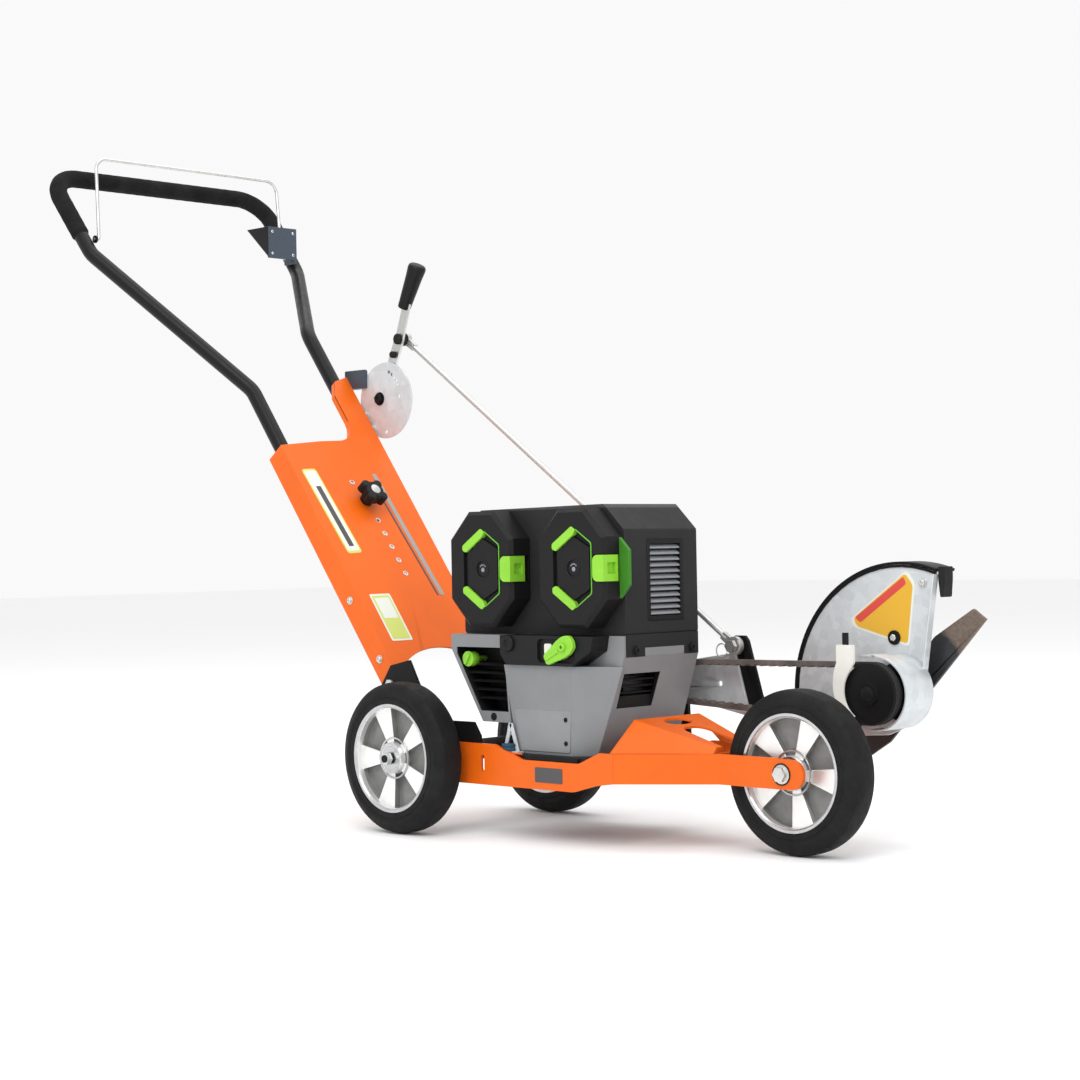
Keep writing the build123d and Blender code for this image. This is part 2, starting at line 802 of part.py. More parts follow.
def crank_pin():
    """Clevis bolt through the crank's top; the rod's lower eye sits on it with clearance."""
    with BuildPart() as part:
        with BuildSketch(side(ROD_Y - 6)):
            with Locations(CRANK_PIN):
                Circle(5)
        extrude(amount=-15)
        with BuildSketch(side(ROD_Y - 12)):
            with Locations(CRANK_PIN):
                RegularPolygon(8.5, 6)
        extrude(amount=-6)
        with BuildSketch(side(BELT_Y + 20)):
            with Locations(CRANK_PIN):
                Circle(3)
        extrude(amount=-14)
        with BuildSketch(side(BELT_Y + 27.3)):
            with Locations(CRANK_PIN):
                RegularPolygon(6, 6)
        extrude(amount=-5)
    save(part, "crank_pin")


def arbor_housing():
    """Tube that holds the two arbor bearings, with a flange against the guard."""
    with BuildPart() as part:
        with BuildSketch(side(BELT_Y + 14)):
            with Locations(ARBOR):
                Circle(HOUSING_R)
                Circle(16, mode=Mode.SUBTRACT)
        extrude(amount=-(GUARD_Y - BELT_Y - 14.1))
        with BuildSketch(side(GUARD_Y - 5.1)):
            with Locations(ARBOR):
                Circle(37)
                Circle(16, mode=Mode.SUBTRACT)
        extrude(amount=-5)
    save(part, "arbor_housing")


def arbor_bearings():
    """Two ball bearings in the arbor housing."""
    with BuildPart() as part:
        for y in (BELT_Y + 16, GUARD_Y - 14):
            with BuildSketch(side(y)):
                with Locations(ARBOR):
                    Circle(15.95)
                    Circle(SHAFT_R + FIT, mode=Mode.SUBTRACT)
            extrude(amount=-10)
    save(part, "arbor_bearings")


def arbor_shaft():
    """Arbor: seat for the pulley, journal, blade flange and threaded end."""
    with BuildPart() as part:
        with BuildSketch(side(BELT_Y - 12)):
            with Locations(ARBOR):
                Circle(SHAFT_R)
        extrude(amount=-(BLADE_Y + 17.2 - BELT_Y + 12))
        with BuildSketch(side(BLADE_Y + 17.2)):
            with Locations(ARBOR):
                Circle(SHAFT_R - 1)
        extrude(amount=-4.8)
        with BuildSketch(side(GUARD_Y + 6)):
            with Locations(ARBOR):
                Circle(24)
        extrude(amount=-(BLADE_Y - GUARD_Y - 6.1))
    save(part, "arbor_shaft")


def grooved_pulley(label, centre, groove_r, bore_r, hub_r):
    """V-belt pulley with a hub boss."""
    lip = groove_r + 7
    half = BELT_W / 2 + GROOVE_GAP
    middle = spot(centre[0], BELT_Y, centre[1])
    with BuildPart() as part:
        with BuildSketch(Plane(origin=middle, x_dir=(0, 1, 0), z_dir=(-1, 0, 0))):
            Polygon(
                (-half - 2.5, bore_r + 0.05), (half + 2.5, bore_r + 0.05), (half + 2.5, lip),
                (half, lip), (half, groove_r), (-half, groove_r), (-half, lip),
                (-half - 2.5, lip), align=None,
            )
        revolve(axis=Axis(middle, (0, 1, 0)))
        with BuildSketch(side(BELT_Y - half - 2.5)):
            with Locations(centre):
                Circle(hub_r)
                Circle(bore_r + 0.05, mode=Mode.SUBTRACT)
        extrude(amount=3)
    save(part, label)


def drive_belt():
    """Belt round both pulleys."""
    with BuildPart() as part:
        with BuildSketch(side(BELT_Y - BELT_W / 2)):
            with BuildSketch(mode=Mode.PRIVATE) as outline:
                with Locations(DRIVE):
                    Circle(DRIVE_R + GROOVE_GAP + BELT_T)
                with Locations(ARBOR):
                    Circle(ARBOR_R + GROOVE_GAP + BELT_T)
            make_hull(outline.edges())
            with BuildSketch(mode=Mode.PRIVATE) as inside:
                with Locations(DRIVE):
                    Circle(DRIVE_R + GROOVE_GAP)
                with Locations(ARBOR):
                    Circle(ARBOR_R + GROOVE_GAP)
            make_hull(inside.edges(), mode=Mode.SUBTRACT)
        extrude(amount=-BELT_W)
    save(part, "drive_belt")


def blade():
    """Two-ended steel blade; each end is ground back on its leading edge."""
    ax, az = ARBOR
    half_outline = [(92, 102), (110, 89), (-35, -67)]
    outline = half_outline + [(-x, -z) for x, z in half_outline]
    with BuildPart() as part:
        with BuildSketch(side(BLADE_Y)):
            Polygon(*[(ax + x, az + z) for x, z in outline], align=None)
            with Locations(ARBOR):
                Circle(SHAFT_R + 0.05, mode=Mode.SUBTRACT)
        extrude(amount=-5)
    save(part, "blade")


def blade_nut():
    """Flanged nut that holds the blade."""
    with BuildPart() as part:
        with BuildSketch(side(BLADE_Y + 5.1)):
            with Locations(ARBOR):
                Circle(20)
                Circle(SHAFT_R + 0.02, mode=Mode.SUBTRACT)
        extrude(amount=-3)
        with BuildSketch(side(BLADE_Y + 8)):
            with Locations(ARBOR):
                RegularPolygon(14, 6)
                Circle(SHAFT_R + 0.02, mode=Mode.SUBTRACT)
        extrude(amount=-9)
    save(part, "blade_nut")


def polar(centre, radius, degrees):
    angle = math.radians(degrees)
    return (centre[0] + radius * math.cos(angle), centre[1] + radius * math.sin(angle))


GUARD_FRONT_ANGLE = 70.5
GUARD_REAR_ANGLE = 214.0


def guard_plate():
    """Galvanised side plate of the blade guard: a wide arc with a straight cut front edge."""
    middle = (GUARD_FRONT_ANGLE + GUARD_REAR_ANGLE) / 2
    front = polar(GUARD_CENTRE, GUARD_R, GUARD_FRONT_ANGLE)
    rear = polar(GUARD_CENTRE, GUARD_R, GUARD_REAR_ANGLE)
    top = polar(GUARD_CENTRE, GUARD_R, middle)
    with BuildPart() as part:
        with BuildSketch(side(GUARD_Y)):
            with BuildLine():
                ThreePointArc(front, top, rear)
                Polyline(rear, (500, 128), (560, 132), (596, 146), (611, 177), front)
            make_face()
            with Locations(ARBOR):
                Circle(SHAFT_R + 6, mode=Mode.SUBTRACT)
        extrude(amount=-3)
    save(part, "guard_plate")


def guard_band():
    """Black rim band round the blade's path, welded to the guard's side plate."""
    thick = 3.5
    middle = (GUARD_FRONT_ANGLE + GUARD_REAR_ANGLE) / 2
    inner = [polar(GUARD_CENTRE, GUARD_R + 0.2, a) for a in
             (GUARD_FRONT_ANGLE, middle, GUARD_REAR_ANGLE)]
    outer = [polar(GUARD_CENTRE, GUARD_R + 0.2 + thick, a) for a in
             (GUARD_REAR_ANGLE, middle, GUARD_FRONT_ANGLE)]
    with BuildPart() as part:
        with BuildSketch(side(GUARD_Y - 1)):
            with BuildLine():
                ThreePointArc(*inner)
                Line(inner[2], outer[0])
                ThreePointArc(*outer)
                Line(outer[2], inner[0])
            make_face()
        extrude(amount=-BAND_W)
    save(part, "guard_band")


def guard_flap():
    """Rubber deflector at the open front end of the guard band, beside the blade's plane."""
    x, z = polar(GUARD_CENTRE, GUARD_R + 4, GUARD_FRONT_ANGLE)
    with BuildPart() as part:
        with BuildSketch(side(GUARD_Y - 1)):
            with Locations((x + 6.2, z - 16)):
                RectangleRounded(10, 38, 2)
        extrude(amount=-FLAP_W)
    save(part, "guard_flap")


def pulley_shroud():
    """Galvanised strip bent round the front of the arbor pulley, from a top shelf to a lower lip."""
    ax, az = ARBOR
    inner = 44.0
    outer = 46.5
    with BuildPart() as part:
        with BuildSketch(side(BELT_Y + 4)):
            with BuildLine():
                Line((ax - 24, az + inner), (ax, az + inner))
                ThreePointArc((ax, az + inner), (ax + inner, az), (ax, az - inner))
                Polyline((ax, az - inner), (ax - 8, az - inner), (ax - 8, az - outer), (ax, az - outer))
                ThreePointArc((ax, az - outer), (ax + outer, az), (ax, az + outer))
                Polyline((ax, az + outer), (ax - 24, az + outer), (ax - 24, az + inner))
            make_face()
        extrude(amount=-(GUARD_Y - BELT_Y - 4.1))
    save(part, "pulley_shroud")


def belt_keeper():
    """Pale keeper plate outside the belt, on a standoff from the swing arm's beam."""
    ax, az = ARBOR
    with BuildPart() as part:
        with BuildSketch(side(BELT_Y - 17)):
            with BuildLine():
                Polyline((540, 248), (566, 248), (566, 226), (558, 214))
                ThreePointArc((558, 214), polar(ARBOR, 32, 190), polar(ARBOR, 32, 238))
                Line(polar(ARBOR, 32, 238), polar(ARBOR, 45, 238))
                ThreePointArc(polar(ARBOR, 45, 238), polar(ARBOR, 45, 195), (540, 226))
                Line((540, 226), (540, 248))
            make_face()
        extrude(amount=-3.5)
        with BuildSketch(side(BELT_Y - 17)):
            with Locations(polar(ARBOR, 42, 200)):
                Circle(3.5)
        extrude(amount=-42.9)
    save(part, "belt_keeper")


# ---- power unit ----

def upper_housing():
    """Charcoal battery housing with two bays, a sloping shoulder and two front feet."""
    with BuildPart() as part:
        with BuildSketch(side(UNIT_NEAR)):
            with BuildLine():
                Polyline(
                    (UNIT_REAR, UNIT_SPLIT), (UNIT_REAR, UNIT_TOP - 34), (UNIT_REAR + 34, UNIT_TOP),
                    (UNIT_FRONT - 34, UNIT_TOP + 3), (UNIT_FRONT, UNIT_TOP - 30),
                    (UNIT_FRONT, UNIT_SPLIT), (UNIT_REAR, UNIT_SPLIT),
                )
            make_face()
        extrude(amount=-(UNIT_FAR - UNIT_NEAR))
        fillet(part.edges().filter_by(Axis.Y), radius=4)
        with BuildSketch(side(UNIT_NEAR)):
            for x in BATTERY_X:
                with Locations((x, BATTERY_LOW + BATTERY_H / 2)):
                    battery_outline(BATTERY_W, BATTERY_H, 0.8)
        extrude(amount=-(BATTERY_BACK - UNIT_NEAR + 0.8), mode=Mode.SUBTRACT)
        with BuildSketch(cross(UNIT_FRONT - 7)):
            with Locations((-44, 249)):
                Rectangle(36, 28)
            with Locations((63, 249)):
                Rectangle(28, 28)
            with Locations((7.5, 254.5)):
                Rectangle(UNIT_FAR - UNIT_NEAR, 17)
        extrude(amount=7)
        with BuildSketch(cross(UNIT_FRONT)):
            with Locations((15, 331)):
                Rectangle(70, 104)
        extrude(amount=-8, mode=Mode.SUBTRACT)
    save(part, "upper_housing")


def battery_outline(width, height, grow=0.0):
    """Octagon about the origin with long upright sides."""
    half_w = width / 2 + grow
    half_h = height / 2 + grow
    cut_w = 0.3 * width
    cut_h = 0.24 * height
    return Polygon(
        (-half_w, -half_h + cut_h), (-half_w + cut_w, -half_h), (half_w - cut_w, -half_h),
        (half_w, -half_h + cut_h), (half_w, half_h - cut_h), (half_w - cut_w, half_h),
        (-half_w + cut_w, half_h), (-half_w, half_h - cut_h), align=None,
    )


def louvre_grille():
    """Slatted cooling grille in the front of the battery housing."""
    with BuildPart() as part:
        with BuildSketch(cross(UNIT_FRONT - 7.9)):
            with Locations((15, 331)):
                Rectangle(69.6, 103.6)
        extrude(amount=2)
        with BuildSketch(cross(UNIT_FRONT - 6)):
            with Locations((15, 331)):
                Rectangle(69.6, 103.6)
                Rectangle(60, 94, mode=Mode.SUBTRACT)
            for step in range(9):
                with Locations((15, 331 - 40 + step * 10)):
                    Rectangle(60, 4.5)
        extrude(amount=6)
    save(part, "louvre_grille")


def lower_profile():
    """Side outline of the grey lower housing's main shell."""
    return [
        (UNIT_REAR + 2, UNIT_SPLIT - 0.2), (UNIT_REAR + 2, 243), (100, 148), (150, 146),
        (164, UNIT_FOOT), (288, UNIT_FOOT), (UNIT_FRONT, 236), (UNIT_FRONT, UNIT_SPLIT - 0.2),
    ]


def lower_housing():
    """Grey motor housing: a hopper that narrows to the deck, with a column on the right side."""
    near = UNIT_NEAR - 4
    with BuildPart() as part:
        with BuildSketch(side(near)):
            Polygon(*lower_profile(), align=None)
        extrude(amount=-(UNIT_FAR - near))
        with BuildSketch(level(223.5)):
            Polygon((143, near + 2), (143, -92), (266, -92), (328, near), (328, near + 2), align=None)
        with BuildSketch(level(UNIT_FOOT)):
            Polygon((164, near + 2), (164, -90), (262, -90), (288, near - 6), (288, near + 2), align=None)
        loft()
        with BuildSketch(side(-90)):
            Polygon(
                (UNIT_REAR + 2, UNIT_SPLIT - 0.2), (UNIT_REAR + 2, 243), (100, 148),
                (152, 148), (146, 223), (140, 223), (140, UNIT_SPLIT - 0.2), align=None,
            )
        extrude(amount=-(90 + near))
        with BuildSketch(side(near + 4)):
            Polygon((161, 132), (289, 132), (316, 216), (316, 252), (161, 252), align=None)
        extrude(amount=-(UNIT_FAR - near - 8), mode=Mode.SUBTRACT)
        with BuildSketch(cross(UNIT_FRONT + 2)):
            with Locations((-44, 249)):
                Rectangle(36.4, 28.4)
            with Locations((63, 249)):
                Rectangle(28.4, 28.4)
            with Locations((7.5, 254.5)):
                Rectangle(UNIT_FAR - UNIT_NEAR + 0.4, 17.4)
        extrude(amount=-9.2, mode=Mode.SUBTRACT)
        with BuildSketch(side(-90)):
            Polygon((52, 245), (141, 245), (148, 162), (96, 162), (52, 236), align=None)
        extrude(amount=-36, mode=Mode.SUBTRACT)
        with BuildSketch(cross(UNIT_FRONT + 4)):
            Polygon((-58, 214), (11, 214), (9, 170), (-58, 170), align=None)
        extrude(amount=-28, mode=Mode.SUBTRACT)
        with BuildSketch(side(-56)):
            with Locations((69, 229)):
                Circle(4 + FIT)
        extrude(amount=-20, mode=Mode.SUBTRACT)
        with BuildSketch(side(UNIT_FAR - 6)):
            with Locations(DRIVE):
                Circle(15.2)
        extrude(amount=-8, mode=Mode.SUBTRACT)
    save(part, "lower_housing")


def control_panel():
    """Black bevelled panel on top of the column, with a recess for the switch."""
    with BuildPart() as part:
        with BuildSketch(side(-97)):
            Polygon(
                (141, UNIT_SPLIT), (141, 238), (152, 224), (268, 224), (302, 243), (306, UNIT_SPLIT),
                align=None,
            )
        extrude(amount=-30.8)
        with BuildSketch(side(-97)):
            with Locations((242, 243)):
                RectangleRounded(66, 30, 6)
        extrude(amount=-4, mode=Mode.SUBTRACT)
        with BuildSketch(side(-97)):
            with Locations((252, 244)):
                Circle(4.06)
        extrude(amount=-16, mode=Mode.SUBTRACT)
    save(part, "control_panel")


def power_switch():
    """Lime rotary paddle on its spindle."""
    with BuildPart() as part:
        with BuildSketch(side(-104)):
            with Locations((252, 244)):
                SlotOverall(56, 27, rotation=28)
        extrude(amount=-6.6)
        with BuildSketch(side(-98)):
            with Locations((252, 244)):
                Circle(4)
        extrude(amount=-16)
    save(part, "power_switch")


def mode_knob():
    """Small green round knob in the left recess."""
    with BuildPart() as part:
        with BuildSketch(side(-86)):
            with Locations((69, 229)):
                Circle(10)
        extrude(amount=-12)
        with BuildSketch(side(-89)):
            with Locations((69, 229)):
                SlotOverall(16, 4.5, rotation=60)
        extrude(amount=-3.2)
        with BuildSketch(side(-75)):
            with Locations((69, 229)):
                Circle(4)
        extrude(amount=-36)
    save(part, "mode_knob")


def battery(label, x):
    """Battery pack: octagonal body with a wider end cap, a recessed emblem and a latch notch."""
    z = BATTERY_LOW + BATTERY_H / 2
    with BuildPart() as part:
        with BuildSketch(side(BATTERY_FACE)):
            with Locations((x, z)):
                battery_outline(CAP_W, CAP_H)
        extrude(amount=-(UNIT_NEAR - 0.4 - BATTERY_FACE))
        chamfer(part.faces().sort_by(Axis.Y)[0].edges(), length=5)
        with BuildSketch(side(UNIT_NEAR - 1)):
            with Locations((x, z)):
                battery_outline(BATTERY_W, BATTERY_H)
        extrude(amount=-(BATTERY_BACK - UNIT_NEAR + 1))
        with BuildSketch(side(BATTERY_FACE)):
            with Locations((x + EMBLEM_X, z)):
                Polygon(
                    (-33, -31), (0, -52), (33, -31), (33, 31), (0, 52), (-33, 31), align=None
                )
        extrude(amount=-5, mode=Mode.SUBTRACT)
        with BuildSketch(side(BATTERY_FACE)):
            with Locations((x + EMBLEM_X, z)):
                Circle(10.3)
        extrude(amount=-12, mode=Mode.SUBTRACT)
        with BuildSketch(side(BATTERY_FACE - 1)):
            with Locations((x + 50, z)):
                Rectangle(20, 34)
        extrude(amount=-33, mode=Mode.SUBTRACT)
    save(part, label)


def battery_button(label, x):
    """Charge-level button in the middle of the battery's end."""
    with BuildPart() as part:
        with BuildSketch(side(BATTERY_FACE + 3)):
            with Locations((x + EMBLEM_X, BATTERY_LOW + BATTERY_H / 2)):
                Circle(10)
        extrude(amount=-7)
    save(part, label)


def battery_latch(label, x):
    """Green release latch round the cap's front edge, with a square finger pocket in its side."""
    z = BATTERY_LOW + BATTERY_H / 2
    with BuildPart() as part:
        with BuildSketch(side(BATTERY_FACE - 3)):
            with Locations((x + 50, z)):
                RectangleRounded(19, 33, 8)
            with Locations((x + 55, z)):
                Rectangle(9, 33)
        extrude(amount=-27)
        with BuildSketch(cross(x + 60)):
            with Locations((-85, z)):
                Rectangle(15, 14)
        extrude(amount=-5, mode=Mode.SUBTRACT)
    save(part, label)


def motor_stator():
    """Laminated stator ring of the drive motor."""
    with BuildPart() as part:
        with BuildSketch(side(-20)):
            with Locations(DRIVE):
                Circle(46)
                Circle(28, mode=Mode.SUBTRACT)
        extrude(amount=-50)
        with BuildSketch(side(-14)):
            with Locations((DRIVE[0], 142.1)):
                Rectangle(30, 20)
        extrude(amount=-38)
    save(part, "motor_stator")


def motor_rotor():
    """Rotor pack on the output shaft."""
    with BuildPart() as part:
        with BuildSketch(side(-18)):
            with Locations(DRIVE):
                Circle(27)
        extrude(amount=-46)
        with BuildSketch(side(-40)):
            with Locations(DRIVE):
                Circle(SHAFT_R)
        extrude(amount=-157)
    save(part, "motor_rotor")


def motor_bearings():
    """Two ball bearings of the motor shaft, on a carrier and in the housing's wall."""
    with BuildPart() as part:
        with BuildSketch(side(-38)):
            with Locations(DRIVE):
                Circle(15)
                Circle(SHAFT_R + FIT, mode=Mode.SUBTRACT)
        extrude(amount=-9)
        with BuildSketch(side(-38)):
            with Locations((DRIVE[0], 157.1)):
                Rectangle(24, 50)
            with Locations(DRIVE):
                Circle(15.1, mode=Mode.SUBTRACT)
        extrude(amount=-6)
        with BuildSketch(side(68)):
            with Locations(DRIVE):
                Circle(15)
                Circle(SHAFT_R + FIT, mode=Mode.SUBTRACT)
        extrude(amount=-9)
    save(part, "motor_bearings")


# ---- fasteners ----

def fasteners():
    """Nuts, washers and bolts that hold the chassis, the console, the quadrant and the lever."""
    reach = TRACK / 2 + WHEEL_W / 2
    with BuildPart() as part:
        for y in (-reach - 8.5, reach + 1.5):
            with BuildSketch(side(y)):
                with Locations((0, WHEEL_R)):
                    RegularPolygon(8.5, 6)
                    Circle(AXLE_END_R + 0.02, mode=Mode.SUBTRACT)
            extrude(amount=-7)
        with BuildSketch(side(FORK_HALF + 0.6)):
            with Locations((WHEELBASE, WHEEL_R)):
                RegularPolygon(9.5, 6)
                Circle(FRONT_AXLE_R, mode=Mode.SUBTRACT)
        extrude(amount=-7)
        for sign in (-1, 1):
            with BuildSketch(side(sign * (CONSOLE_HALF - 3))):
                with Locations(CONSOLE_BOLT):
                    Circle(4)
            extrude(amount=-sign * 12)
            with BuildSketch(side(sign * (SUPPORT_Y + 4.1))):
                with Locations(CONSOLE_BOLT):
                    RegularPolygon(7.5, 6)
            extrude(amount=-sign * 4)
            with BuildSketch(side(sign * (CONSOLE_HALF + 0.1))):
                with Locations(CONSOLE_BOLT):
                    Circle(8)
            extrude(amount=-sign * (SUPPORT_Y - CONSOLE_HALF - 0.2))
        with BuildSketch(level(DIP_Z - 5)):
            with Locations((217, 0)):
                with GridLocations(176, 150, 2, 2):
                    RegularPolygon(6.5, 6)
        extrude(amount=4.8)
        with BuildSketch(level(DIP_Z - 2)):
            with Locations((217, 0)):
                with GridLocations(176, 150, 2, 2):
                    Circle(4)
        extrude(amount=7.8)
        for s in QUADRANT_BOLTS:
            with BuildSketch(side(CONSOLE_HALF + 0.1)):
                with Locations(side_point(s, 6)):
                    Circle(6)
            extrude(amount=-3.8)
            with BuildSketch(side(CONSOLE_HALF - 3.5)):
                with Locations(side_point(s, 6)):
                    Circle(3)
            extrude(amount=-10)
            with BuildSketch(side(CONSOLE_HALF + 7.1)):
                with Locations(side_point(s, 6)):
                    RegularPolygon(5.5, 6)
            extrude(amount=-3)
        with BuildSketch(side(CONSOLE_HALF + 0.3)):
            with Locations(LEVER_PIVOT):
                Circle(5)
        extrude(amount=-17)
        with BuildSketch(side(CONSOLE_HALF + 12.3)):
            with Locations(LEVER_PIVOT):
                RegularPolygon(8.5, 6)
        extrude(amount=-6)
    save(part, "fasteners")


# ---- build everything ----

for place, wheel_x, wheel_y, _, spoke_angle in WHEELS:
    tyre(f"tyre_{place}", wheel_x, wheel_y)
    rim(f"rim_{place}", wheel_x, wheel_y, spoke_angle)

for number, battery_x in enumerate(BATTERY_X, start=1):
    battery(f"battery_{number}", battery_x)
    battery_button(f"battery_button_{number}", battery_x)
    battery_latch(f"battery_latch_{number}", battery_x)

wheel_bearings()
rear_axle()
front_axle()
frame_side("frame_side_right", -1)
frame_side("frame_side_left", 1)
engine_deck()
front_gusset()
console_supports()
console()
clamp_knob()
handle_tube()
handle_grip()
operator_bail()
bail_tab()
switch_box()
lever_quadrant()
lever_block()
depth_lever()
lever_grip()
lever_ball()
link_rod()
swing_bracket()
swing_plate()
swing_arm()
crank_pin()
arbor_housing()
arbor_bearings()
arbor_shaft()
grooved_pulley("arbor_pulley", ARBOR, ARBOR_R, SHAFT_R, 14)
grooved_pulley("drive_pulley", DRIVE, DRIVE_R, SHAFT_R, 12)
drive_belt()
blade()
blade_nut()
guard_plate()
guard_band()
guard_flap()
pulley_shroud()
belt_keeper()
upper_housing()
louvre_grille()
lower_housing()
control_panel()
power_switch()
mode_knob()
motor_stator()
motor_rotor()
motor_bearings()
fasteners()
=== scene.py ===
import math

import bmesh
import bpy
from mathutils import Matrix, Vector


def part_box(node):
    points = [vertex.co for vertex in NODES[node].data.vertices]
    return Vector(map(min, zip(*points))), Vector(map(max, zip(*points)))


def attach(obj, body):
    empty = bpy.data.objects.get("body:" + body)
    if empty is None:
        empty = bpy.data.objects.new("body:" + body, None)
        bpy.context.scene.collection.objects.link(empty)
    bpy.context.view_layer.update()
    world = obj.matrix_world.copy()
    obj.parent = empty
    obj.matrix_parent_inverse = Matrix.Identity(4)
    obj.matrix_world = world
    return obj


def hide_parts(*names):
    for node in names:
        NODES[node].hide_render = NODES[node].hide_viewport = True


# A battery walk-behind lawn edger. Positions are given in millimetres from the middle of the
# rear axle (x forwards, y to the machine's left) and the ground (z), as in the CAD.

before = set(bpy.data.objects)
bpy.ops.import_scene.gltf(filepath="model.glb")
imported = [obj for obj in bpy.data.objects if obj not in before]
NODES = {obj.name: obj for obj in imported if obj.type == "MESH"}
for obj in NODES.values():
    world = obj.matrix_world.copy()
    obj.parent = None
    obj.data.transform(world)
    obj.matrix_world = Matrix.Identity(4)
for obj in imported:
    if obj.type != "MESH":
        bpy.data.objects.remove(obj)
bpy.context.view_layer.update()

AXLE_X = sum(corner.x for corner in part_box("tyre_rear_right")) / 2
MM = 0.001
CONSOLE_FOOT = (-59, 206)
CONSOLE_NORMAL = Vector((0.802, 0, 0.597)).normalized()
CONSOLE_UP = Vector((-0.597, 0, 0.802)).normalized()
DRIVE = (240, 196)
ARBOR = (582, 188)
GUARD_CENTRE = (581, 181)
GUARD_R = 164
GUARD_FROM, GUARD_SWEEP = 70.5, 143.5
BATTERY_X = (106, 270)
BATTERY_Z = 347.5
BATTERY_FACE = -97
WHEEL_R = 100
FRONT_AXLE_X = 552
LEG_Y, LEG_DEPTH = 83, 16
KNOB = (8, 300)
LEVER_JOINT = (-270, 689)
KEY_CENTRE = (252, 244)
ROOF_Z = (0.4228, 0.4242)
POCKET = (0.0122, 0.0126)
SHARP = math.radians(32)
RIPPLE_PITCH = 2.6
X_AXIS, Y_AXIS, Z_AXIS = Vector((1, 0, 0)), Vector((0, 1, 0)), Vector((0, 0, 1))


def at(x, y, z):
    """Local millimetres to the shared frame's metres."""
    return Vector((AXLE_X + x * MM, y * MM, z * MM))


def on_console(y, s, depth=0):
    """Point on the console: y across, s up its slope, depth behind its skin."""
    foot = at(CONSOLE_FOOT[0], y, CONSOLE_FOOT[1])
    return foot + CONSOLE_UP * (s * MM) - CONSOLE_NORMAL * (depth * MM)


def polar(centre, radius, degrees):
    angle = math.radians(degrees)
    return (centre[0] + radius * math.cos(angle), centre[1] + radius * math.sin(angle))


# ---------------------------------------------------------------- materials

def opaque(colour):
    """Colour with full alpha; a node's output stays as it is."""
    return colour if isinstance(colour, bpy.types.NodeSocket) else (*colour, 1)


class Shader:
    """A node material under construction, with object coordinates in metres."""

    def __init__(self, name):
        self.material = bpy.data.materials.new(name)
        self.material.use_nodes = True
        self.tree = self.material.node_tree
        self.bsdf = self.tree.nodes["Principled BSDF"]
        self.coords = self.node("ShaderNodeTexCoord").outputs["Object"]

    def node(self, kind, links=None, **settings):
        item = self.tree.nodes.new(kind)
        for key, value in settings.items():
            setattr(item, key, value)
        for key, value in (links or {}).items():
            self.feed(item.inputs[key], value)
        return item

    def feed(self, socket, value):
        """Links another node's output to a socket, or sets the socket's own value."""
        if isinstance(value, bpy.types.NodeSocket):
            self.tree.links.new(value, socket)
        else:
            socket.default_value = value

    def scaled(self, scale):
        """Object coordinates stretched by scale along each axis."""
        mapping = self.node("ShaderNodeMapping", {"Vector": self.coords, "Scale": scale})
        return mapping.outputs["Vector"]

    def noise(self, scale, detail=3, rough=0.55, vector=None):
        links = {"Vector": vector or self.coords, "Scale": scale, "Detail": detail,
                 "Roughness": rough}
        return self.node("ShaderNodeTexNoise", links).outputs["Fac"]

    def cells(self, scale, output="Color"):
        links = {"Vector": self.coords, "Scale": scale}
        return self.node("ShaderNodeTexVoronoi", links).outputs[output]

    def bands(self, scale, direction, distortion=0):
        links = {"Vector": self.coords, "Scale": scale, "Distortion": distortion}
        return self.node("ShaderNodeTexWave", links, wave_type="BANDS",
                         bands_direction=direction).outputs["Fac"]

    def math(self, operation, a, b=0):
        return self.node("ShaderNodeMath", {0: a, 1: b}, operation=operation).outputs[0]

    def plus(self, a, b):
        return self.math("ADD", a, b)

    def minus(self, a, b):
        return self.math("SUBTRACT", a, b)

    def times(self, a, b):
        return self.math("MULTIPLY", a, b)

    def between(self, value, low, high):
        """1 where value is between low and high."""
        return self.times(self.math("GREATER_THAN", value, low),
                          self.math("LESS_THAN", value, high))

    def axes(self):
        parts = self.node("ShaderNodeSeparateXYZ", {"Vector": self.coords})
        return parts.outputs["X"], parts.outputs["Y"], parts.outputs["Z"]

    def span(self, value, low, high, out_low=0, out_high=1):
        links = {"Value": value, "From Min": low, "From Max": high,
                 "To Min": out_low, "To Max": out_high}
        return self.node("ShaderNodeMapRange", links).outputs["Result"]

    def mix(self, factor, a, b):
        links = {0: factor, 6: opaque(a), 7: opaque(b)}
        return self.node("ShaderNodeMix", links, data_type="RGBA").outputs[2]

    def from_arbor(self):
        """Height over the arbor's axis and distance from it, in metres."""
        x, _, z = self.axes()
        dx = self.minus(x, AXLE_X + ARBOR[0] * MM)
        dz = self.minus(z, ARBOR[1] * MM)
        return dz, self.math("SQRT", self.plus(self.times(dx, dx), self.times(dz, dz)))

    def bump(self, height, strength, distance=0.001, below=None):
        links = {"Height": height, "Strength": strength, "Distance": distance}
        if below is not None:
            links["Normal"] = below
        return self.node("ShaderNodeBump", links).outputs["Normal"]

    def set(self, **sockets):
        names = {"colour": "Base Color", "rough": "Roughness", "metal": "Metallic",
                 "normal": "Normal", "coat": "Coat Weight", "coat_rough": "Coat Roughness",
                 "specular": "Specular IOR Level"}
        for key, value in sockets.items():
            self.feed(self.bsdf.inputs[names[key]], opaque(value) if key == "colour" else value)
        return self.material


def shade(colour, factor):
    return tuple(min(1, c * factor) for c in colour)


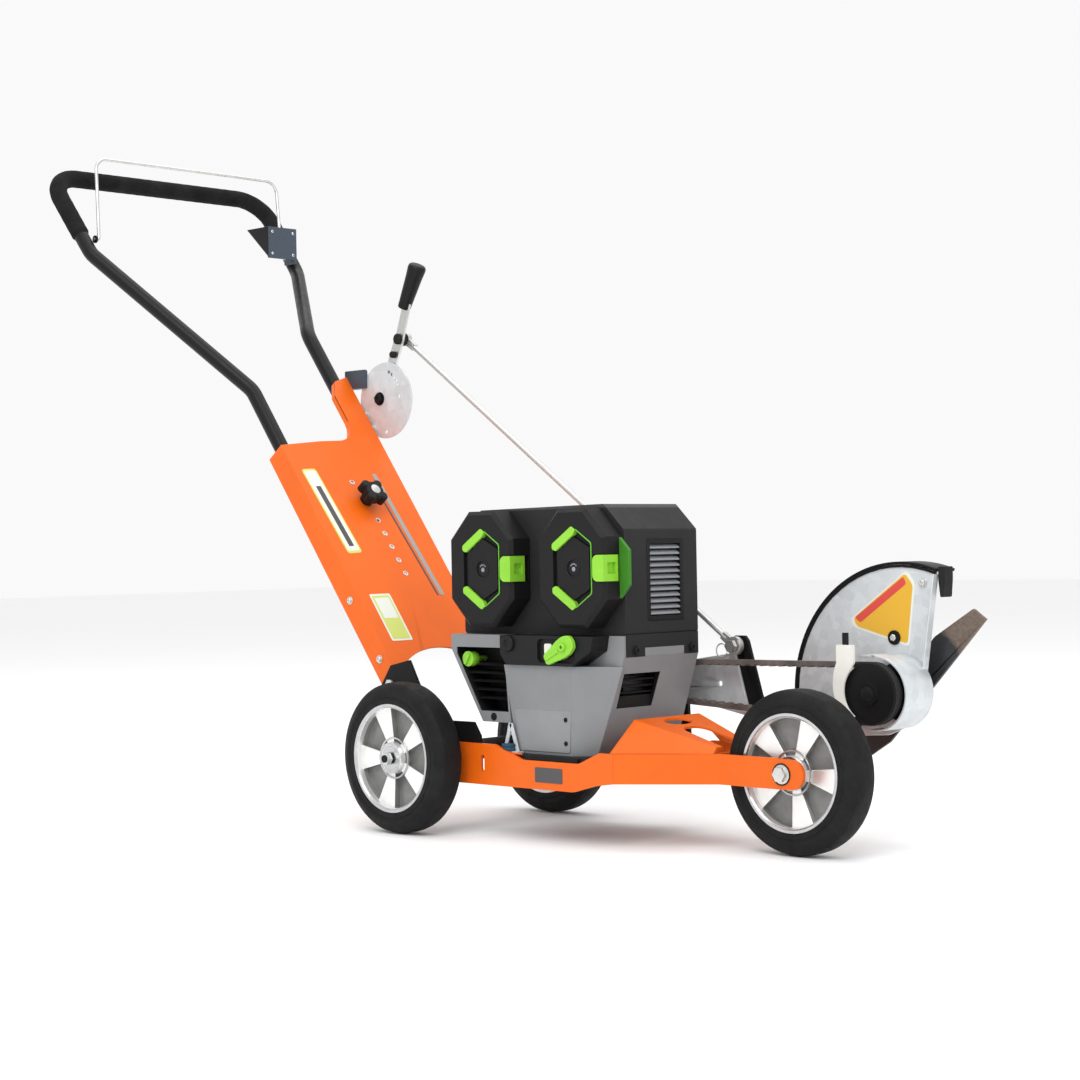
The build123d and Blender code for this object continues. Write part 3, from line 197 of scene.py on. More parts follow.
def powder_coat(name, colour, rough=0.33, peel=0.12, coat=0.05, specular=0.25):
    """Baked powder coat: orange-peel skin, slight unevenness, and dust in the low parts."""
    s = Shader(name)
    cloud = s.span(s.noise(9, 4), 0.3, 0.7)
    tint = s.mix(cloud, shade(colour, 0.93), shade(colour, 1.05))
    speck = s.span(s.noise(1400, 2), 0.66, 0.75)
    tint = s.mix(s.times(speck, 0.18), tint, shade(colour, 0.6))
    gloss = s.span(s.noise(60, 3), 0.3, 0.7, rough - 0.05, rough + 0.08)
    skin = s.bump(s.noise(620, 2), peel, 0.0006)
    return s.set(colour=tint, rough=gloss, normal=skin, coat=coat, coat_rough=0.18,
                 specular=specular)


def rubber(name, colour=(0.0085, 0.0085, 0.009), dust=0.035):
    """Solid rubber: matt, faintly dusty, with a fine moulded grain."""
    s = Shader(name)
    cloud = s.span(s.noise(28, 5, 0.65), 0.42, 0.75)
    tint = s.mix(s.times(cloud, dust), colour, (0.2, 0.19, 0.17))
    gloss = s.span(s.noise(90, 3), 0.3, 0.7, 0.52, 0.72)
    grain = s.bump(s.noise(2200, 2), 0.18, 0.0004)
    scuffs = s.bump(s.noise(160, 6, 0.7), 0.08, 0.001, grain)
    return s.set(colour=tint, rough=gloss, normal=scuffs, specular=0.14)


def moulded(name, colour, rough=0.5, texture=0.22, scale=1500, coat=0, specular=0.16,
            roof=False):
    """Injection-moulded plastic with a spark-eroded texture; a roof is greyer above ROOF_Z."""
    s = Shader(name)
    cloud = s.span(s.noise(14, 4), 0.3, 0.7)
    tint = s.mix(cloud, shade(colour, 0.9), shade(colour, 1.08))
    flecks = s.span(s.cells(scale * 0.6, output="Distance"), 0, 0.6)
    tint = s.mix(s.times(flecks, 0.08), tint, shade(colour, 1.5))
    if roof:
        tint = s.mix(s.span(s.axes()[2], *ROOF_Z), tint, (0.062, 0.063, 0.065))
    gloss = s.span(s.noise(45, 3), 0.3, 0.7, rough - 0.05, rough + 0.07)
    grain = s.bump(s.noise(scale, 2, 0.6), texture, 0.0005)
    return s.set(colour=tint, rough=gloss, normal=grain, coat=coat, coat_rough=0.2,
                 specular=specular)


def grey_with_painted_shade(name, colour):
    """Grey moulding with painted shade: black inside the recess in its right side and inside its
    front vent.
    """
    s = Shader(name)
    x, y, z = s.axes()
    x = s.minus(x, AXLE_X)
    # The recess has a slanted front edge, and the vent's face leans back.
    slope = s.plus(z, s.times(s.minus(x, 0.052), 1.682))
    recess = s.times(s.between(x, 0.051, 0.149), s.between(y, -0.0885, -0.0535))
    recess = s.times(recess, s.between(z, 0.1615, 0.2455))
    recess = s.times(recess, s.math("GREATER_THAN", slope, 0.2345))
    face = s.plus(s.times(s.minus(z, 0.11), 0.3333), 0.2868)
    vent = s.times(s.between(y, -0.0583, 0.0113), s.between(z, 0.1696, 0.2144))
    vent = s.times(vent, s.math("LESS_THAN", x, face))
    vent = s.times(vent, s.math("GREATER_THAN", x, 0.3))
    # Painted shade: the recess and the vent are coloured black, as shade falls inside them.
    dark = s.math("MAXIMUM", recess, vent)
    cloud = s.span(s.noise(14, 4), 0.3, 0.7)
    tint = s.mix(cloud, shade(colour, 0.92), shade(colour, 1.06))
    tint = s.mix(dark, tint, (0.006, 0.006, 0.006))
    gloss = s.span(s.noise(45, 3), 0.3, 0.7, 0.43, 0.55)
    grain = s.bump(s.noise(1200, 2, 0.6), 0.3, 0.0005)
    return s.set(colour=tint, rough=gloss, normal=grain, specular=0.3)


def galvanised(name, colour=(0.6, 0.63, 0.65)):
    """Hot-dip galvanised sheet: spangle of flat crystals, each with its own tone and gloss."""
    s = Shader(name)
    crystal = s.cells(95)
    tone = s.node("ShaderNodeRGBToBW", {"Color": crystal}).outputs[0]
    fine = s.span(s.noise(240, 4), 0.3, 0.7)
    tint = s.mix(tone, shade(colour, 0.9), shade(colour, 1.1))
    tint = s.mix(s.times(fine, 0.15), tint, shade(colour, 0.8))
    gloss = s.span(tone, 0, 1, 0.36, 0.48)
    dents = s.bump(s.noise(22, 2), 0.12, 0.002)
    skin = s.bump(tone, 0.05, 0.0003, dents)
    return s.set(colour=tint, rough=gloss, metal=0.3, normal=skin)


def plated(name, colour=(0.66, 0.66, 0.64), rough=0.28, marks=0.35):
    """Zinc-plated or machined steel with fine drawn lines and handling marks."""
    s = Shader(name)
    lines = s.noise(1, 3, vector=s.scaled((1800, 1800, 120)))
    smear = s.span(s.noise(70, 5, 0.7), 0.35, 0.7)
    tint = s.mix(s.times(smear, marks), colour, shade(colour, 0.62))
    gloss = s.span(smear, 0, 1, rough, rough + 0.18)
    return s.set(colour=tint, rough=gloss, metal=1, normal=s.bump(lines, 0.08, 0.0003))


def foam(name):
    """Closed-cell foam sleeve: matt, pitted, slightly greyed where it is held."""
    s = Shader(name)
    pits = s.cells(1300, output="Distance")
    cloud = s.span(s.noise(30, 4), 0.35, 0.7)
    tint = s.mix(cloud, (0.008, 0.008, 0.008), (0.016, 0.0155, 0.015))
    soft = s.bump(s.noise(110, 3), 0.25, 0.0012)
    skin = s.bump(pits, 0.45, 0.0005, soft)
    return s.set(colour=tint, rough=s.span(pits, 0, 0.8, 0.8, 0.95), normal=skin, specular=0.12)


def wheel_alloy(name, centre_y):
    """Cast rim: machined bright faces near its outsides, grey cast pockets between the spokes."""
    s = Shader(name)
    off = s.math("ABSOLUTE", s.minus(s.axes()[1], centre_y * MM))
    deep = s.span(off, *POCKET, 1, 0)
    cast = s.noise(700, 4, 0.7)
    blotch = s.span(s.noise(55, 4), 0.3, 0.7)
    pocket = s.mix(blotch, (0.2, 0.2, 0.195), (0.27, 0.27, 0.26))
    bright = s.mix(blotch, (0.8, 0.8, 0.79), (0.9, 0.9, 0.89))
    tint = s.mix(deep, bright, pocket)
    gloss = s.plus(s.span(deep, 0, 1, 0.3, 0.52), s.span(cast, 0.3, 0.7, 0, 0.1))
    metal = s.span(deep, 0, 1, 0.75, 0.35)
    grain = s.bump(cast, 0.2, 0.0005)
    turning = s.bump(s.bands(500, "Z"), 0.03, 0.0002, grain)
    return s.set(colour=tint, rough=gloss, metal=metal, normal=turning)


def blade_paint(name):
    """Painted blade: nearly black, with worn brown steel showing at its upper end; below the arbor
    the wear fades out as painted shadow, so the lower end stays dark.
    """
    s = Shader(name)
    height, reach = s.from_arbor()
    ragged = s.times(s.minus(s.noise(60, 6, 0.7), 0.5), 0.012)
    worn_and_painted_shadow = s.span(s.plus(reach, ragged), 0.082, 0.09)
    # Painted shadow: the worn steel fades out below the arbor's axis, so the lower end stays dark
    # where it lies in shade.
    worn_and_painted_shadow = s.times(worn_and_painted_shadow, s.span(height, -0.02, 0))
    rust = s.span(s.noise(220, 6, 0.75), 0.4, 0.65)
    worn = s.mix(rust, (0.15, 0.105, 0.08), (0.205, 0.165, 0.14))
    paint = s.mix(s.noise(40), (0.012, 0.013, 0.014), (0.026, 0.027, 0.028))
    tint = s.mix(worn_and_painted_shadow, paint, worn)
    gloss = s.span(worn_and_painted_shadow, 0, 1, 0.38, 0.55)
    grind = s.noise(1, 3, vector=s.scaled((1500, 200, 300)))
    return s.set(colour=tint, rough=gloss, metal=s.span(worn_and_painted_shadow, 0, 1, 0.1, 0.5),
                 normal=s.bump(grind, 0.2, 0.0004))


def belting(name):
    """Cloth-covered rubber belt with a dusty brown-grey flank, and painted shadow where it rounds
    the arbor.
    """
    s = Shader(name)
    weave = s.bands(420, "DIAGONAL", 0.6)
    cloud = s.span(s.noise(35, 5), 0.35, 0.7)
    tint = s.mix(cloud, (0.075, 0.062, 0.055), (0.155, 0.132, 0.12))
    reach = s.from_arbor()[1]
    # Painted shadow: near black within 40 mm of the arbor's axis, fading out by 46 mm.
    tint = s.mix(s.span(reach, 0.04, 0.046, 1, 0), tint, (0.01, 0.01, 0.01))
    return s.set(colour=tint, rough=0.82, normal=s.bump(weave, 0.35, 0.0004))


def laminated(name):
    """Stack of thin steel sheets, seen as fine bands across the machine."""
    s = Shader(name)
    bands = s.bands(600, "Y")
    tint = s.mix(bands, (0.12, 0.12, 0.125), (0.25, 0.25, 0.26))
    return s.set(colour=tint, rough=0.45, metal=0.9, normal=s.bump(bands, 0.3, 0.0003))


def sticker(name, colour):
    """Vinyl sticker: smooth, slightly bubbled, with faint print grain."""
    s = Shader(name)
    grain = s.span(s.noise(900, 2), 0.4, 0.6)
    tint = s.mix(s.times(grain, 0.12), colour, shade(colour, 0.8))
    bubbles = s.bump(s.noise(30, 2), 0.08, 0.001)
    return s.set(colour=tint, rough=s.span(grain, 0, 1, 0.32, 0.42), normal=bubbles, coat=0.3)


ORANGE = powder_coat("orange_powder_coat", (0.74, 0.12, 0.004), rough=0.4)
BLACK_COAT = powder_coat("black_powder_coat", (0.008, 0.008, 0.0085), rough=0.42, coat=0.02,
                         specular=0.12)
TUBE_COAT = powder_coat("black_tube_coat", (0.008, 0.008, 0.0085), rough=0.36, coat=0.04,
                        specular=0.18)
SLATE = powder_coat("slate_coat", (0.05, 0.066, 0.09), rough=0.42, peel=0.18, coat=0.1)
TYRE = rubber("tyre_rubber")
FLAP = rubber("flap_rubber", (0.012, 0.012, 0.012), dust=0.05)
FOAM = foam("grip_foam")
GALVANISED = galvanised("galvanised_sheet")
PLATED = plated("zinc_plated")
STEEL = plated("machined_steel", (0.55, 0.56, 0.57), rough=0.22)
ROD = plated("rod_zinc", (0.58, 0.58, 0.57), rough=0.42, marks=0.08)
CHARCOAL = moulded("charcoal_moulding", (0.02, 0.02, 0.021), rough=0.5, texture=0.3,
                   roof=True)
PACK_BLACK = moulded("pack_black", (0.0095, 0.0095, 0.01), rough=0.45, texture=0.22)
JET = moulded("jet_moulding", (0.01, 0.01, 0.011), rough=0.38, texture=0.18)
GREY = moulded("grey_moulding", (0.235, 0.242, 0.25), rough=0.48, texture=0.3, scale=1200)
# The housing carries painted shade in its side recess and front vent.
HOUSING = grey_with_painted_shade("grey_housing", (0.215, 0.222, 0.23))
SLAT_GREY = moulded("slat_grey", (0.25, 0.26, 0.28), rough=0.42)
LIME = moulded("lime_moulding", (0.235, 0.56, 0.035), rough=0.3, texture=0.1, coat=0.4)
LEAF = moulded("leaf_moulding", (0.12, 0.42, 0.03), rough=0.34, texture=0.12, coat=0.3)
# Painted shade: a darker copy of the leaf green, for the side flange that sits in shade.
LEAF_PAINTED_SHADE = moulded("leaf_painted_shade_moulding", (0.045, 0.19, 0.02), rough=0.4, texture=0.12)
CREAM = moulded("cream_moulding", (0.8, 0.79, 0.74), rough=0.5, texture=0.12)
BELT = belting("belt_cloth")
BLADE = blade_paint("blade_steel")
LAMINATED = laminated("motor_laminations")
YELLOW = sticker("amber_sticker", (0.7, 0.38, 0.01))
ASH = sticker("ash_sticker", (0.3, 0.29, 0.27))
RED = sticker("red_sticker", (0.62, 0.045, 0.03))
PALE = sticker("pale_sticker", (0.72, 0.74, 0.66))
LIME_STICKER = sticker("lime_sticker", (0.56, 0.62, 0.12))
DARK_STICKER = sticker("dark_sticker", (0.045, 0.042, 0.045))
BLUE_RUBBER = rubber("damper_rubber", (0.02, 0.06, 0.1), dust=0.05)

NODE_MATERIALS = {
    ORANGE: ("frame_side_right", "frame_side_left", "front_gusset", "console"),
    BLACK_COAT: ("engine_deck", "console_supports", "bail_tab", "swing_bracket", "swing_arm",
                 "guard_band", "arbor_housing", "arbor_pulley", "rear_axle"),
    TUBE_COAT: ("handle_tube",),
    SLATE: ("switch_box", "lever_block"),
    GALVANISED: ("lever_quadrant", "swing_plate", "guard_plate", "pulley_shroud"),
    ROD: ("link_rod",),
    PLATED: ("front_axle", "depth_lever", "crank_pin", "blade_nut", "fasteners",
             "operator_bail"),
    STEEL: ("wheel_bearings", "arbor_bearings", "arbor_shaft", "drive_pulley", "motor_rotor",
            "motor_bearings"),
    CHARCOAL: ("upper_housing",),
    PACK_BLACK: ("battery_1", "battery_2"),
    JET: ("control_panel", "clamp_knob", "lever_ball", "battery_button_1", "battery_button_2",
          "lever_grip"),
    HOUSING: ("lower_housing",),
    SLAT_GREY: ("louvre_grille",),
    LIME: ("power_switch", "mode_knob", "battery_latch_1", "battery_latch_2"),
    CREAM: ("belt_keeper",),
    BLADE: ("blade",),
    BELT: ("drive_belt",),
    FOAM: ("handle_grip",),
    FLAP: ("guard_flap",),
    TYRE: ("tyre_rear_right", "tyre_rear_left", "tyre_front"),
    LAMINATED: ("motor_stator",),
}
WHEELS = {
    "rear_right": ("wheel_rr", 0, -144),
    "rear_left": ("wheel_rl", 0, 144),
    "front": ("wheel_f", FRONT_AXLE_X, 0),
}


def paint_node(name, material):
    data = NODES[name].data
    data.materials.clear()
    data.materials.append(material)


for coat, names in NODE_MATERIALS.items():
    for node_name in names:
        paint_node(node_name, coat)
for place, (_, _, wheel_y) in WHEELS.items():
    paint_node(f"rim_{place}", wheel_alloy(f"rim_alloy_{place}", wheel_y))


def round_edges(piece, width, segments=2):
    """Rounds a piece's sharp edges by width millimetres, as a modifier."""
    edge = piece.modifiers.new("edges", "BEVEL")
    edge.width = width * MM
    edge.segments = segments
    edge.limit_method = "ANGLE"
    edge.angle_limit = SHARP
    edge.use_clamp_overlap = True


SOFT_EDGES = {
    2.2: ("upper_housing", "lower_housing"),
    1.2: ("battery_1", "battery_2", "control_panel", "rim_rear_right", "rim_rear_left",
          "rim_front", "clamp_knob", "mode_knob"),
    0.8: ("frame_side_right", "frame_side_left", "front_gusset", "console_supports",
          "swing_bracket", "swing_arm", "lever_block", "battery_latch_1", "battery_latch_2",
          "engine_deck", "depth_lever", "swing_plate", "belt_keeper", "blade", "guard_plate",
          "guard_band", "arbor_pulley", "drive_pulley", "arbor_housing", "switch_box"),
    0.5: ("console", "lever_quadrant", "pulley_shroud", "fasteners", "crank_pin", "blade_nut",
          "link_rod", "bail_tab", "lever_ball", "arbor_shaft", "front_axle", "rear_axle"),
}
for radius, names in SOFT_EDGES.items():
    for node_name in names:
        NODES[node_name].modifiers.new("join", "WELD").merge_threshold = 1e-6
        round_edges(NODES[node_name], radius)


# ---------------------------------------------------------------- camera, floor and light

def in_scene(name, data):
    item = bpy.data.objects.new(name, data)
    bpy.context.scene.collection.objects.link(item)
    return item


PHOTO_PIXELS = 1080
FOCAL_PIXELS = 2220.05
SENSOR_MM = 36
CAMERA_PLACE = (2198, -2111.5, 376.1)
CAMERA_ANGLES = (44.51, -0.16, -1.07)


def camera():
    """Camera of the photograph's lens, place and angles: yaw, pitch down and roll in degrees."""
    yaw, pitch, roll = (math.radians(a) for a in CAMERA_ANGLES)
    forward = Vector((-math.sin(yaw), math.cos(yaw), 0))
    right = Vector((math.cos(yaw), math.sin(yaw), 0))
    look = forward * math.cos(pitch) - Z_AXIS * math.sin(pitch)
    up = forward * math.sin(pitch) + Z_AXIS * math.cos(pitch)
    side = right * math.cos(roll) + up * math.sin(roll)
    top = up * math.cos(roll) - right * math.sin(roll)
    data = bpy.data.cameras.new("camera")
    data.sensor_width = SENSOR_MM
    data.lens = SENSOR_MM * FOCAL_PIXELS / PHOTO_PIXELS
    data.clip_start = 0.01
    data.clip_end = 60
    cam = in_scene("camera", data)
    rotation = Matrix((side, top, -look)).transposed().to_4x4()
    cam.matrix_world = Matrix.Translation(at(*CAMERA_PLACE)) @ rotation
    bpy.context.scene.camera = cam


def area_light(name, place, target, size, power):
    data = bpy.data.lights.new(name, "AREA")
    data.shape = "RECTANGLE"
    data.size, data.size_y = size
    data.energy = power
    lamp = in_scene(name, data)
    lamp.location = Vector(place)
    lamp.rotation_euler = (Vector(target) - Vector(place)).to_track_quat("-Z", "Y").to_euler()


def studio():
    """Pale floor, white surroundings and three soft lights."""
    bpy.ops.mesh.primitive_plane_add(size=30, location=(0, 0, -0.0005))
    floor = bpy.context.object
    floor.name = "studio_floor"
    s = Shader("studio_floor")
    cloud = s.noise(1.5, 2)
    s.set(colour=s.mix(cloud, (0.93, 0.93, 0.93), (0.95, 0.95, 0.95)), rough=0.7, specular=0.2)
    floor.data.materials.append(s.material)
    world = bpy.data.worlds.new("studio")
    bpy.context.scene.world = world
    world.use_nodes = True
    back = world.node_tree.nodes["Background"]
    back.inputs["Color"].default_value = (1, 1, 1, 1)
    back.inputs["Strength"].default_value = 0.95
    area_light("key", (1.6, -2.4, 3), (0, 0, 0.3), (2.4, 2.4), 70)
    area_light("fill", (3.2, -0.2, 1.6), (0.2, 0, 0.3), (1.6, 2.4), 8)
    area_light("top", (-0.4, 0.6, 3.4), (0, 0, 0.2), (3, 3), 45)
    bpy.context.scene.view_settings.view_transform = "Standard"


# ---------------------------------------------------------------- mesh helpers

def finish_mesh(name, bm, material, body, slot=None, smooth=30, bevel=0, segments=2):
    """Turns a bmesh into a piece in the material that rides on a body; the slot argument is not
    used.
    """
    bmesh.ops.remove_doubles(bm, verts=bm.verts, dist=1e-7)
    bmesh.ops.recalc_face_normals(bm, faces=bm.faces)
    mesh = bpy.data.meshes.new(name)
    bm.to_mesh(mesh)
    bm.free()
    mesh.materials.append(material)
    piece = in_scene(name, mesh)
    if bevel:
        round_edges(piece, bevel, segments)
    mesh.shade_smooth()
    mesh.set_sharp_from_angle(angle=math.radians(smooth))
    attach(piece, body)
    return piece


def prism(bm, corners, offset):
    """Closed prism from a loop of corner points, pushed by offset."""
    low = [bm.verts.new(c) for c in corners]
    high = [bm.verts.new(Vector(c) + offset) for c in corners]
    count = len(corners)
    bm.faces.new(low[::-1])
    bm.faces.new(high)
    for i in range(count):
        j = (i + 1) % count
        bm.faces.new((low[i], low[j], high[j], high[i]))


def slab(bm, corners, y, thick):
    """Prism from a side-view outline (x, z), thick millimetres towards +Y from y."""
    prism(bm, [at(x, y, z) for x, z in corners], Y_AXIS * (thick * MM))


def rounded(points, radius, steps=5):
    """Polygon with every corner rounded."""
    result = []
    count = len(points)
    for i in range(count):
        before, here, after = (Vector(points[(i + k) % count]) for k in (-1, 0, 1))
        a, b = (before - here), (after - here)
        reach = min(radius, a.length * 0.45, b.length * 0.45)
        start = here + a.normalized() * reach
        end = here + b.normalized() * reach
        for k in range(steps + 1):
            t = k / steps
            point = start.lerp(here, t).lerp(here.lerp(end, t), t)
            result.append(tuple(point))
    return result


def rect(x0, z0, x1, z1):
    return [(x0, z0), (x1, z0), (x1, z1), (x0, z1)]


def bar(start, end, wide):
    """Corners of a strip of this width along a line in a plane."""
    a, b = Vector(start), Vector(end)
    run = (b - a).normalized()
    side = Vector((-run.y, run.x)) * wide / 2
    return [tuple(a + side), tuple(a - side), tuple(b - side), tuple(b + side)]


def lathe(bm, profile, centre, axis, count):
    """Turned solid; profile is (along the axis, radius) in millimetres, a closed loop."""
    axis = axis.normalized()
    out = axis.orthogonal().normalized()
    rings = []
    for k in range(count):
        spoke = Matrix.Rotation(2 * math.pi * k / count, 3, axis) @ out
        rings.append([bm.verts.new(centre + axis * (a * MM) + spoke * (r * MM))
                      for a, r in profile])
    size = len(profile)
    for k in range(count):
        one, two = rings[k], rings[(k + 1) % count]
        for i in range(size):
            j = (i + 1) % size
            bm.faces.new((one[i], one[j], two[j], two[i]))


def bend(points, radii, steps=10):
    """Path with its inner corners rounded to true arcs, as the CAD's tubes are."""
    path = [points[0].copy()]
    for here, before, after, radius in zip(points[1:-1], points[:-2], points[2:], radii):
        a, b = (before - here).normalized(), (after - here).normalized()
        half = a.angle(b) / 2
        reach = radius * MM / math.tan(half)
        centre = here + (a + b).normalized() * (radius * MM / math.sin(half))
        start, end = here + a * reach - centre, here + b * reach - centre
        axis, sweep = start.cross(end).normalized(), start.angle(end)
        path += [centre + Matrix.Rotation(sweep * k / steps, 3, axis) @ start
                 for k in range(steps + 1)]
    path.append(points[-1].copy())
    return path


def tube(bm, path, radius, count):
    """Tube along a path; radius is in millimetres, or a function of the path's 0 to 1."""
    lengths = [0]
    for a, b in zip(path, path[1:]):
        lengths.append(lengths[-1] + (b - a).length)
    total = lengths[-1]
    normal = (path[1] - path[0]).orthogonal().normalized()
    rings = []
    for i, point in enumerate(path):
        ahead = path[min(i + 1, len(path) - 1)] - path[max(i - 1, 0)]
        tangent = ahead.normalized()
        normal = (normal - tangent * normal.dot(tangent)).normalized()
        across = tangent.cross(normal)
        size = radius(lengths[i] / total) if callable(radius) else radius
        rings.append([bm.verts.new(point + (normal * math.cos(2 * math.pi * k / count) + across *
                     math.sin(2 * math.pi * k / count)) * (size * MM)) for k in range(count)])
    for one, two in zip(rings, rings[1:]):
        for k in range(count):
            j = (k + 1) % count
            bm.faces.new((one[k], one[j], two[j], two[k]))
    bm.faces.new(rings[0][::-1])
    bm.faces.new(rings[-1])


def resample(path, spacing):
    """Path with a point about every spacing millimetres on its long runs."""
    result = [path[0]]
    for a, b in zip(path, path[1:]):
        parts = max(1, int((b - a).length / (spacing * MM)))
        result += [a.lerp(b, k / parts) for k in range(1, parts + 1)]
    return result


def bolt_head(bm, centre, axis, across=10, high=5, washer=True, hexagon=True):
    """Bolt or screw head with a washer, a chamfered rim and a dimple or a hex socket."""
    axis = axis.normalized()
    lift = 0
    if washer:
        rim = across * 0.72
        lathe(bm, [(-0.2, 0.5), (-0.2, rim), (0.9, rim), (1.2, rim - 0.4), (1.2, 0.5)],
              centre, axis, 24)
        lift = 1.2
    count = 6 if hexagon else 24
    radius = across / 2 / (math.cos(math.pi / 6) if hexagon else 1)
    dip = across * 0.24
    profile = [(lift - 0.2, 0.4), (lift - 0.2, radius), (lift + high - 0.8, radius),
               (lift + high, radius - 0.9), (lift + high, dip), (lift + high - 1.6, dip * 0.85),
               (lift + high - 1.6, 0.4)]
    lathe(bm, profile, centre, axis, count)


def bolts(name, places, axis, body, material=PLATED, slot=None, **shape):
    """Bolt or screw heads that make one piece."""
    bm = bmesh.new()
    for place in places:
        bolt_head(bm, place, axis, **shape)
    return finish_mesh(name, bm, material, body, slot, smooth=25, bevel=0.25, segments=1)


def turned(name, profile, centre, axis, count, material, body, slot=None, **look):
    """Piece made of one turned solid."""
    bm = bmesh.new()
    lathe(bm, profile, centre, axis, count)
    return finish_mesh(name, bm, material, body, slot, **look)


def plate(name, outline, y, thick, material, body, slot=None, **look):
    """Flat piece from one side-view outline."""
    bm = bmesh.new()
    slab(bm, outline, y, thick)
    return finish_mesh(name, bm, material, body, slot, **look)


def ripple(bm, centre, size):
    """One ripple of a weld."""
    bmesh.ops.create_icosphere(bm, subdivisions=1, radius=size * MM,
                               matrix=Matrix.Translation(centre))


def bead(bm, start, end, size):
    """Weld bead: overlapping ripples along a joint."""
    count = max(2, int((end - start).length / MM / RIPPLE_PITCH))
    for k in range(count):
        ripple(bm, start.lerp(end, (k + 0.5) / count), size)


# ---------------------------------------------------------------- wheels

def tyres():
    """Solid tyres: moulded side rings, rounded shoulders and a smooth tread."""
    half_profile = [(21.8, 72.2), (22.4, 73.8), (22.4, 78.5), (21.7, 79.3), (21.7, 80.6),
                    (22.4, 81.4), (22.4, 85.6), (21.6, 87.2), (20.2, 91.3), (17.6, 95.8),
                    (14.2, 98.4), (10, 99.4), (5, 99.85)]
    profile = half_profile + [(-a, r) for a, r in half_profile[::-1]]
    for place, (body, x, y) in WHEELS.items():
        piece = turned(f"tyre_{place}_rubber", profile, at(x, y, WHEEL_R), Y_AXIS, 144, TYRE,
                       body, smooth=24)
        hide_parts(f"tyre_{place}")


def hub_details():
    """Bright lip, hub step and hub ring on both sides of every rim."""
    for place, (body, x, y) in WHEELS.items():
        bm = bmesh.new()
        for side in (-1, 1):
            axis = Y_AXIS * side
            centre = at(x, y, WHEEL_R)
            lathe(bm, [(20.3, 66.6), (21.9, 68.2), (22.1, 71.6), (20.6, 71.9), (19.6, 70)],
                  centre, axis, 96)
            lathe(bm, [(12.4, 25.2), (14.6, 25.6), (14.9, 27.6), (12.6, 28.4)], centre, axis, 64)
            lathe(bm, [(21.3, 17.2), (22.2, 17.6), (22.3, 19.9), (21.3, 20.4)], centre, axis, 48)
        finish_mesh(f"rim_{place}_rings", bm, STEEL, body, smooth=28)


# ---------------------------------------------------------------- handle and console

def handle_corners():
    """Corners of the handle tube's centre line, from the right leg to the left."""
    return [on_console(-LEG_Y, 240, LEG_DEPTH), on_console(-LEG_Y, 518, LEG_DEPTH), at(-617, -199,
            828), at(-718, -206, 958), at(-718, 206, 958), at(-617, 199, 828), on_console(LEG_Y,
            637, LEG_DEPTH), on_console(LEG_Y, 240, LEG_DEPTH), ]


def grip():
    """Foam sleeve: swells a little between its rounded ends, with faint hand wear."""
    points = handle_corners()[2:6]
    start = points[0].lerp(points[1], 0.22)
    end = points[3].lerp(points[2], 0.5)
    path = resample(bend([start, points[1], points[2], end], (48, 48), 14), 5)

    def size(t):
        edge = min(t, 1 - t) / 0.01
        lip = math.sqrt(max(0, 1 - (1 - min(edge, 1)) ** 2))
        return 11.3 + lip * (2 + 0.12 * math.sin(t * 190))
    bm = bmesh.new()
    tube(bm, path, size, 28)
    piece = finish_mesh("handle_grip_foam", bm, FOAM, "handle", smooth=50)
    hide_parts("handle_grip")


def leg_clamps():
    """Folded straps behind the console's skin that guide the handle's legs."""
    bm = bmesh.new()
    foot, tall, inner, outer = 372, CONSOLE_UP * (14 * MM), 11.7, 14.2
    for y in (-LEG_Y, LEG_Y):
        outline = [polar((y, LEG_DEPTH), outer, 15 * k) for k in range(13)]
        outline += [polar((y, LEG_DEPTH), inner, 15 * k) for k in range(12, -1, -1)]
        prism(bm, [on_console(a, foot, depth) for a, depth in outline], tall)
        for sign in (-1, 1):
            left, right = sorted((y + sign * inner, y + sign * outer))
            corners = [on_console(a, foot, depth)
                       for a, depth in rect(left, 2.6, right, LEG_DEPTH)]
            prism(bm, corners, tall)
    finish_mesh("leg_clamps", bm, BLACK_COAT, "chassis", bevel=0.4)


def stick(name, corners, material, lift=0, thick=0.35, radius=4):
    """Thin sticker on the console's skin; corners are (y, s)."""
    bm = bmesh.new()
    outline = [on_console(y, s, -lift - 0.05) for y, s in rounded(corners, radius)]
    prism(bm, outline, CONSOLE_NORMAL * (thick * MM))
    return finish_mesh(name, bm, material, "chassis", "orange_paint")


